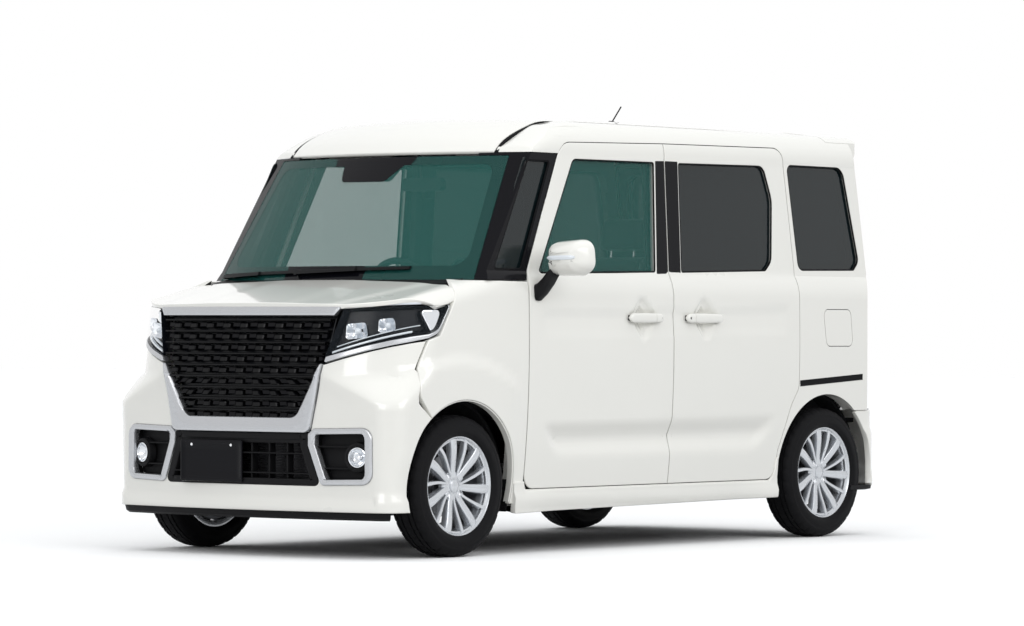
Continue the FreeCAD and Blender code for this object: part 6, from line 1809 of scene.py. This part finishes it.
def tail_lamps():
    """Tall corner lamps: red cover over the stop lamp, clear and amber below, and a dark case round them."""
    outer = rounded(rectangle(0.5615, 0.560, 0.7105, 0.890, 0.012))
    split = 0.668
    red = rounded([(0.5625, split + 0.002, 0.004), (0.7100, split + 0.002, 0.004), (0.7100, 0.889, 0.012),
                   (0.5625, 0.889, 0.012)])
    clear = rounded([(0.5625, 0.561, 0.012), (0.7100, 0.561, 0.012), (0.7100, split - 0.002, 0.004),
                     (0.5625, split - 0.002, 0.004)])
    swell = lambda flat: 0.003 + 0.003 * smooth(distance_to(outer, flat) / 0.03)
    both_sides(panel(red, tail_surface(), (-1, 0, 0), back=0.02, step=0.016, bulge=swell), "stop_lamp_cover",
               RED_LENS, "tail_lens", ["tail_lamps"])
    both_sides(panel(clear, tail_surface(), (-1, 0, 0), back=0.02, step=0.016, bulge=swell), "turn_lamp_cover",
               REFLECTOR, "tail_lens")
    case = ribbon(outer, tail_surface(0.001), tail_surface(0.040))
    both_sides(case, "tail_lamp_case", LAMP_DARK, "tail_lens")
    amber = Shape()
    for k in range(5):
        z = 0.580 + 0.0165 * k
        amber.join(
            skin([[tail_surface(d)(y, z + h) for d, h in ((-0.0055, -0.004), (-0.0075, 0), (-0.0055, 0.004))]
                  for y in np.linspace(0.580, 0.690, 9)]))
    both_sides(amber, "turn_lamp_lines", AMBER, "tail_lens")
    glow = Shape()
    for y in (0.592, 0.628, 0.664):
        glow.join(
            skin([[tail_surface(d)(y + h, z) for d, h in ((-0.0050, -0.006), (-0.0085, 0), (-0.0050, 0.006))]
                  for z in np.linspace(0.700, 0.865, 12)]))
    both_sides(glow, "stop_lamp_lines", RED_LENS, "tail_lens")


def rear_plan():
    """Plan of the rear bumper as rows of (length from the centre, x, y)."""
    half = HALF - 0.0005
    reach = -TAIL
    face = arc3((-reach + 0.012, 0.630), (-reach, 0), (-reach + 0.012, -0.630), 32)[:17][::-1]
    bend = arc3((-reach + 0.012, 0.630), (-reach + 0.040, half - 0.031), (-reach + 0.118, half), 24)[1:]
    points = face + bend + [(-reach + 0.5, half)]
    rows, run = [], 0.0
    for i, (x, y) in enumerate(points):
        if i:
            run += math.hypot(x - points[i - 1][0], y - points[i - 1][1])
        rows.append((run, x, y))
    return np.array(rows)


REAR_PLAN = rear_plan()


def bumper_surface(depth=0.0):
    """Rear bumper as a function of (length along its plan, z)."""
    def place(u, z):
        x = float(np.interp(abs(u), REAR_PLAN[:, 0], REAR_PLAN[:, 1]))
        y = float(np.interp(abs(u), REAR_PLAN[:, 0], REAR_PLAN[:, 2]))
        dx = float(np.interp(abs(u) + 0.01, REAR_PLAN[:, 0], REAR_PLAN[:, 1])) - x
        dy = float(np.interp(abs(u) + 0.01, REAR_PLAN[:, 0], REAR_PLAN[:, 2])) - y
        length = math.hypot(dx, dy)
        return Vector((x + dy / length * depth, math.copysign(y - dx / length * depth, u), z))
    return place


def rear_bumper():
    """Rear cover from arch to arch, with a step along the top, reflectors and a dark lower edge."""
    run = lambda x: float(np.interp(x, REAR_PLAN[:, 1], REAR_PLAN[:, 0]))
    arch = arch_points(REAR, 180 + 9.0, 180 - 49.0, ARCH, 14)
    half = [(0.0, 0.215)] + [(run(x), z) for x, z in [(REAR - 0.345, 0.2155)] + arch]
    half += [(run(REAR - 0.232), 0.5435), (run(REAR - 0.330), 0.5435), (0.56, 0.5435)]
    loop = half + [(-u, z) for u, z in reversed(half[1:])]
    fine = []
    for i, (u, z) in enumerate(loop):
        v, w = loop[(i + 1) % len(loop)]
        count = max(1, int(math.hypot(v - u, w - z) / 0.025))
        fine.extend((u + (v - u) * k / count, z + (w - z) * k / count) for k in range(count))

    def relief(flat):
        u, z = np.abs(flat[:, 0]), flat[:, 1]
        lip = smooth((0.275 - z) / 0.016)
        ledge = smooth((0.470 - z) / 0.030)
        return -0.013 + 0.0075 * ledge + 0.0045 * lip

    shape = panel(anticlockwise(fine), bumper_surface(), (-1, 0, 0),
                  pressed=[(rounded([(-0.62, 0.345, 0.02), (0.62, 0.345, 0.02), (0.60, 0.425, 0.02),
                                     (-0.60, 0.425, 0.02)]), 0.007, 0.016)], back=0.030, step=0.022,
                  bulge=relief)
    shape.make("rear_bumper_cover", PAINT, "paint_plastic", ["rear_bumper"])
    sections = []
    for u in between(-0.60, 0.60, 40):
        edge = bumper_surface(0.012)(u, 0.5435)
        sections.append([edge, (edge.x + 0.010, edge.y, 0.5455),
                         (tail_x(edge.y, 0.54) - 0.003, edge.y, 0.5455)])
    skin(sections, wrap=False).make("rear_bumper_shelf", PAINT, "paint_plastic")
    edge = ((0.006, 0.218), (0.010, 0.200), (0.030, 0.196), (0.060, 0.218))
    sections = [[bumper_surface(d)(u, z) for d, z in edge] for u in between(-0.92, 0.92, 60)]
    skin(sections).make("rear_under_lip", TRIM, "trim_black")
    mirrors = panel(rounded(rectangle(0.470, 0.365, 0.560, 0.405, 0.008)), bumper_surface(0.0095), (-1, 0, 0),
                    back=0.004, step=0.02)
    both_sides(mirrors, "rear_reflector", RED_LENS, "tail_lens")


def rear_seams():
    """Dark joints: round the tailgate, the lamps and along the top of the bumper."""
    loop = inset(rounded(GATE_EDGE), -0.003)
    sections = []
    for (y, z), (yi, zi) in zip(loop, inset(loop, 0.006)):
        a, b = tail_surface(0.0075)(y, z), tail_surface(0.0075)(yi, zi)
        sections.append([a, b, b + Vector((0.010, 0, 0)), a + Vector((0.010, 0, 0))])
    sections.append(sections[0])
    skin(sections, cap=False).make("tailgate_edge_seal", SEAL, "trim_black")
    edge = ((0.0185, 0.5468), (0.0185, 0.5492), (0.030, 0.5492), (0.030, 0.5468))
    sections = [[bumper_surface(d)(u, z) for d, z in edge] for u in between(-0.93, 0.93, 60)]
    skin(sections).make("rear_bumper_joint", SEAL, "trim_black")


tail_gate()
tail_gate_fittings()
tail_lamps()
rear_bumper()
rear_seams()


# ---- cabin
def pillow(profile, low, high, crown=0.030, bolster=(0.0, 0.08), grooves=(), across=(), face=None):
    """A stuffed form: a side profile carried across the car, its ends rounded in.

    bolster is how far the sides stand up and how wide they are, grooves are y values of the sewn
    channels and across is the spacing of the cross channels on the face named by a direction.
    """
    loop = anticlockwise(rounded(profile, 0.012, 6))
    face = Vector(face or (0, 0, 1)).normalized()
    stations = sorted({round(low + (high - low) * (0.5 - 0.5 * math.cos(math.pi * i / 16)), 4)
                       for i in range(17)}
                      | {round(low + 0.018 * i, 4) for i in range(1, int((high - low) / 0.018))}
                      | {round(y + d, 4) for y in grooves for d in (-0.004, 0.0, 0.004)})
    flat = np.array(loop)
    centre = flat.mean(0)
    sections = []
    for y in stations:
        edge = min(y - low, high - y)
        t = min(edge / crown, 1.0)
        draw = crown * (1 - math.sqrt(max(1 - (1 - t) ** 2, 0.0)))
        ring = []
        points = inset(loop, draw)
        count = len(points)
        for i, (x, z) in enumerate(points):
            run = Vector((points[(i + 1) % count][0] - points[i - 1][0], 0, points[(i + 1) % count][1]
                          - points[i - 1][1]))
            out = Vector((run.z, 0, -run.x))
            out = out.normalized() if out.length else face
            facing = max(out.dot(face), 0.0)
            rise = bolster[0] * float(smooth(1 - edge / bolster[1])) * float(smooth(edge / 0.02)) * facing
            for groove in grooves:
                rise -= 0.0065 * facing * math.exp(-((y - groove) / 0.0045) ** 2)
            rise += 0.006 * facing * float(smooth(edge / 0.09))
            if across:
                along = (x - centre[0]) * face.z - (z - centre[1]) * face.x
                phase = (along / across[0]) % 1.0
                reach = float(smooth((edge - bolster[1]) / 0.02) * smooth((across[1] - abs(along)) / 0.01))
                rise -= 0.0055 * facing * reach * math.exp(-((min(phase, 1 - phase) * across[0]) / 0.0040) ** 2)
            ring.append(Vector((x, y, z)) + out * rise)
        sections.append(ring)
    return skin(sections)


def seat(front, recline, low, high, top, name, node):
    """A seat in three pads with its posts; the pads crown between sewn channels."""
    base = front - 0.410 - recline
    cushion = [(front, 0.524, 0.045), (front - 0.004, 0.632, 0.055), (front - 0.25, 0.622),
               (front - 0.452, 0.607, 0.02), (front - 0.460, 0.500, 0.03)]
    grooves = [low + 0.105, high - 0.105]
    pads = []
    pad = pillow(cushion, low + 0.004, high - 0.004, 0.040, (0.016, 0.085), grooves, (0.095, 0.19), (0, 0, 1))
    pads.append((pad, name + "_cushion"))
    back = [(front - 0.440, 0.545, 0.05), (front - 0.408, 0.672, 0.05), (front - 0.404 - recline * 0.55, 0.93),
            (front - 0.402 - recline, top - 0.004, 0.045), (front - 0.486 - recline, top - 0.006, 0.045),
            (front - 0.552, 0.556, 0.05)]
    lean = Vector((1, 0, recline / 0.54)).normalized()
    pad = pillow(back, low + 0.018, high - 0.018, 0.040, (0.020, 0.080), [low + 0.110, high - 0.110],
                 (0.105, 0.20), (lean.x, 0, lean.z))
    pads.append((pad, name + "_backrest"))
    middle = (low + high) / 2
    head = [(base - 0.016, top + 0.028, 0.03), (base - 0.046, top + 0.162, 0.04),
            (base - 0.116, top + 0.158, 0.04), (base - 0.094, top + 0.024, 0.03)]
    pad = pillow(head, middle - 0.118, middle + 0.118, 0.036, (0.0, 0.05), (), (), (1, 0, 0.2))
    pads.append((pad, name + "_headrest"))
    for shape, title in pads:
        for side, word in ((1, "left"), (-1, "right")):
            piece = Shape().join(shape) if side > 0 else shape.mirrored()
            made = piece.make(f"{title}_{word}", CLOTH, "seat_cloth", [node] if title.endswith("cushion")
                              else (), sharp=60)
    posts = Shape()
    for y in (middle - 0.060, middle + 0.060):
        posts.join(tube([(base - 0.050, y, top - 0.030), (base - 0.060, y, top + 0.060)], 0.0065, 12))
    both_sides(posts, name + "_headrest_posts", CHROME, "seat_cloth")


def seats():
    """Front and rear seats, with their bases, runners, recliner covers and handles."""
    seat(FRONT - 0.950, 0.120, 0.080, 0.580, 1.200, "front_seat", "front_seats")
    seat(REAR + 0.640, 0.110, 0.018, 0.597, 1.130, "rear_seat", "rear_seats")
    base, side, lever = Shape(), Shape(), Shape()
    base.join(rounded_box((FRONT - 1.385, 0.115, 0.360), (FRONT - 1.015, 0.545, 0.508), 0.02, 3))
    for y in (0.135, 0.525):
        side.join(rounded_box((FRONT - 1.400, y - 0.018, 0.3325), (FRONT - 0.960, y + 0.018, 0.362), 0.006, 2))
    side.join(rounded_box((FRONT - 1.430, 0.552, 0.430), (FRONT - 1.080, 0.576, 0.540), 0.010, 3))
    lever.join(rounded_box((FRONT - 1.330, 0.560, 0.505), (FRONT - 1.200, 0.590, 0.525), 0.006, 2))
    both_sides(base, "front_seat_base", TRIM, "seat_cloth")
    both_sides(side, "front_seat_runners", TRIM, "trim_black")
    both_sides(lever, "front_seat_lever", DASH, "trim_black")
    rear = rounded_box((REAR + 0.400, 0.075, 0.4), (REAR + 0.590, 0.530, 0.508), 0.02, 3)
    both_sides(rear, "rear_seat_base", TRIM, "seat_cloth")
    buckles = rounded_box((FRONT - 1.370, 0.046, 0.560), (FRONT - 1.345, 0.074, 0.680), 0.006, 2)
    both_sides(buckles, "belt_buckles", DASH, "trim_black")


def wheel_turn():
    """Placement of the steering wheel: its own Y axis points at the driver."""
    rake = math.radians(25)
    back = Vector((-math.cos(rake), 0, math.sin(rake)))
    up = Vector((math.sin(rake), 0, math.cos(rake)))
    across = back.cross(up)
    turn = Matrix((across, back, up)).transposed().to_4x4()
    return Matrix.Translation((FRONT - 0.925, -0.340, 1.015)) @ turn


def steering_wheel():
    """Rim with thumb rests, and the soft pad on the hub."""
    radius, turn = 0.1815, wheel_turn()
    sections = []
    for k in range(97):
        a = 2 * math.pi * k / 96
        swell = 1 + 0.12 * sum(math.exp(-((math.degrees(a) - d) / 12) ** 2) for d in (40, 140))
        sections.append([((radius + 0.0145 * swell * c) * math.cos(a), 0.0155 * swell * s,
                          (radius + 0.0145 * swell * c) * math.sin(a)) for c, s in circle(16)])
    rim = skin(sections, cap=False)
    rim.turned(turn).make("steering_rim", DASH, "trim_black", ["steering_wheel"], "steering_column", 60)
    sections = []
    for draw, y in ((0.010, -0.040), (0.0, -0.030), (0.0, 0.000), (0.004, 0.010), (0.014, 0.017),
                    (0.040, 0.021)):
        loop = inset(rounded([(-0.085, 0.045, 0.03), (0.085, 0.045, 0.03), (0.070, -0.050, 0.04),
                              (0.030, -0.085, 0.03), (-0.030, -0.085, 0.03), (-0.070, -0.050, 0.04)][::-1],
                             0.012, 6), draw)
        sections.append([(x, y, z) for x, z in loop])
    pad = skin(sections)
    pad.turned(turn).make("steering_pad", DASH, "trim_black", body="steering_column", sharp=60)


def steering_spokes():
    """Three spokes, the switches on the side ones, and the column's cover with its stalks."""
    turn = wheel_turn()
    spokes = Shape()
    edge = ((-0.006, -1), (0.003, -0.9), (0.0055, 0), (0.003, 0.9), (-0.006, 1))
    for side in (-1, 1):
        sections = []
        for t in between(0, 1, 8):
            x = side * (0.070 + 0.108 * t)
            half = 0.020 - 0.006 * math.sin(math.pi * t)
            y = 0.004 - 0.004 * t
            sections.append([(x, y + dy, 0.010 * t + dz * half) for dy, dz in edge])
        spokes.join(skin(sections))
    sections = []
    for t in between(0, 1, 8):
        z = -0.075 - 0.098 * t
        half = 0.022 - 0.006 * math.sin(math.pi * t)
        sections.append([(dx * half, 0.002 - 0.003 * t + dy, z) for dy, dx in edge])
    spokes.join(skin(sections))
    spokes.turned(turn).make("steering_spokes", DASH_LIGHT, "trim_black", body="steering_column")
    switches = Shape()
    for side in (-1, 1):
        for k in range(3):
            low = Vector((side * 0.112 - 0.014, 0.005, -0.012 + 0.012 * k))
            switches.join(rounded_box(low, low + Vector((0.028, 0.006, 0.009)), 0.002, 1))
    switches.turned(turn).make("steering_switches", GLOSS, "trim_black", body="steering_column")
    column = lathe([(0.040, -0.36), (0.062, -0.30), (0.064, -0.10), (0.056, -0.060), (0.050, -0.055)],
                   (0, 0, 0), "Y", 32)
    for side in (-1, 1):
        column.join(tube([(side * 0.05, -0.085, 0.010), (side * 0.11, -0.075, 0.020),
                          (side * 0.185, -0.065, 0.028)], 0.007, 10, [0.006, 0.006, 0.010]))
    column.turned(turn).make("column_cover", DASH, "dash_plastic")


def dashboard():
    """Dash furniture: instrument hood, middle screen, vents, heater panel, lever and glovebox."""
    dark, gloss, light, slats = Shape(), Shape(), Shape(), Shape()
    sections = []
    for t in between(0, 1, 24):
        y = -0.520 + 0.36 * t
        rise = 0.046 * math.sin(math.pi * t) ** 0.45
        sections.append([(FRONT - 0.455, y, 1.038), (FRONT - 0.480, y, 1.044 + rise * 0.85),
                         (FRONT - 0.590, y, 1.046 + rise), (FRONT - 0.600, y, 1.040 + rise),
                         (FRONT - 0.597, y, 1.032 + rise * 0.8), (FRONT - 0.500, y, 1.030)])
    skin(sections).make("instrument_hood", DASH, "dash_plastic")
    gloss.join(rounded_box((FRONT - 0.560, -0.490, 1.020), (FRONT - 0.550, -0.190, 1.078), 0.004, 2))
    gloss.join(rounded_box((FRONT - 0.6130, -0.118, 0.885), (FRONT - 0.596, 0.118, 1.032), 0.006, 3))
    gloss.join(rounded_box((FRONT - 0.5800, -0.130, 0.785), (FRONT - 0.560, 0.130, 0.868), 0.008, 3))
    for y in (-0.620, 0.620, -0.175, 0.175):
        wide = 0.055 if abs(y) > 0.5 else 0.038
        light.join(rounded_box((FRONT - 0.6100, y - wide, 0.915), (FRONT - 0.590, y + wide, 1.000), 0.010, 3))
        dark.join(rounded_box((FRONT - 0.6115, y - wide + 0.007, 0.922),
                              (FRONT - 0.600, y + wide - 0.007, 0.993), 0.006, 2))
        for k in range(5):
            z = 0.932 + 0.0125 * k
            slats.join(rounded_box((FRONT - 0.6135, y - wide + 0.009, z),
                                   (FRONT - 0.608, y + wide - 0.009, z + 0.004), 0.001, 1))
    for y in (-0.085, 0.0, 0.085):
        light.join(lathe([(0.0, -0.0240), (0.0150, -0.0235), (0.0185, -0.0200), (0.0195, 0.0)],
                         (FRONT - 0.578, y, 0.826), "X", 28))
    light.join(rounded_box((FRONT - 0.604, -0.560, 0.868), (FRONT - 0.585, 0.560, 0.876), 0.003, 2))
    dark.join(rounded_box((FRONT - 0.600, 0.185, 0.770), (FRONT - 0.545, 0.560, 0.862), 0.018, 3))
    tube([(FRONT - 0.575, -0.185, 0.895), (FRONT - 0.625, -0.185, 0.905), (FRONT - 0.660, -0.185, 0.920)],
         0.008, 12, [0.007, 0.008, 0.016]).make("gear_lever", GLOSS, "dash_plastic")
    dark.make("dash_dark_parts", DASH, "dash_plastic")
    gloss.make("dash_screens", GLOSS, "gloss_black")
    light.make("dash_silver_parts", DASH_LIGHT, "dash_plastic")
    slats.make("dash_vent_slats", TRIM, "dash_plastic")
    dials = Shape()
    for y in (-0.400, -0.280):
        dials.join(lathe([(0.0225, -0.0060), (0.0245, -0.0080), (0.0265, -0.0060)], (FRONT - 0.555, y, 1.049),
                         "X", 32))
    dials.make("instrument_rings", CHROME, "dash_plastic")
    pedals = Shape()
    for y, wide in ((-0.300, 0.045), (-0.400, 0.028)):
        pedals.join(rounded_box((FRONT - 0.475, y - wide, 0.430), (FRONT - 0.465, y + wide, 0.490), 0.004, 2))
        pedals.join(tube([(FRONT - 0.465, y, 0.46), (FRONT - 0.430, y, 0.60), (FRONT - 0.410, y, 0.70)], 0.006,
                         8))
    pedals.make("pedals", TRIM, "trim_black")


def linings():
    """Headlining, sun visors and the trims of the middle posts."""
    sections = []
    for x in between(FRONT - 0.585, REAR - 0.255, 30):
        z = roof_line(x) - 0.052
        sections.append([(x, y, z - 0.020 * (y / 0.6) ** 2 - 0.050 * max(abs(y) - 0.52, 0) / 0.08)
                         for y in between(-0.600, 0.600, 24)])
    skin(sections, wrap=False).make("headlining", LINING, "trim_black", sharp=80)
    visors = rounded_box((FRONT - 0.640, 0.170, 1.570), (FRONT - 0.618, 0.520, 1.655), 0.008, 3)
    both_sides(visors, "sun_visor", LINING, "trim_black")
    sections = []
    for z in np.linspace(0.40, 1.60, 25):
        y = side_y(z) - 0.066
        sections.append([(FRONT - 1.285, y + 0.004, z), (FRONT - 1.300, y - 0.012, z),
                         (FRONT - 1.420, y - 0.012, z), (FRONT - 1.435, y + 0.004, z)])
    both_sides(skin(sections, wrap=False), "middle_post_trim", DOOR_TRIM, "trim_black")


def belts_and_carpet():
    """Front belts with their upper guides, the carpet and the windscreen pillars' trims."""
    sections = []
    for z in np.linspace(0.42, 1.47, 22):
        y = side_y(z) - 0.082
        sections.append([(FRONT - 1.338, y, z), (FRONT - 1.338, y - 0.0014, z), (FRONT - 1.384, y - 0.0014, z),
                         (FRONT - 1.384, y, z)])
    belt = skin(sections)
    belt.join(rounded_box((FRONT - 1.388, side_y(1.47) - 0.100, 1.455),
                          (FRONT - 1.334, side_y(1.47) - 0.070, 1.500), 0.006, 2))
    both_sides(belt, "front_belt", CLOTH, "seat_cloth")
    carpet = rounded_box((REAR + 0.385, -0.668, 0.3325), (FRONT - 0.420, 0.668, 0.3385), 0.002, 1)
    carpet.join(rounded_box((FRONT - 0.425, -0.390, 0.3325), (FRONT - 0.165, 0.390, 0.3385), 0.002, 1))
    carpet.make("front_carpet", CLOTH, "seat_cloth")
    sections = []
    for x, z in zip(between(FRONT - 0.225, FRONT - 0.470, 12), between(COWL + 0.012, HEADER - 0.030, 12)):
        y = side_y(z) - 0.075
        sections.append([(x - 0.010, y - 0.030, z), (x - 0.010, y + 0.004, z), (x - 0.044, y + 0.004, z),
                         (x - 0.050, y - 0.022, z)])
    both_sides(skin(sections), "screen_pillar_trim", TRIM, "trim_black")


seats()
steering_wheel()
steering_spokes()
dashboard()
linings()
belts_and_carpet()
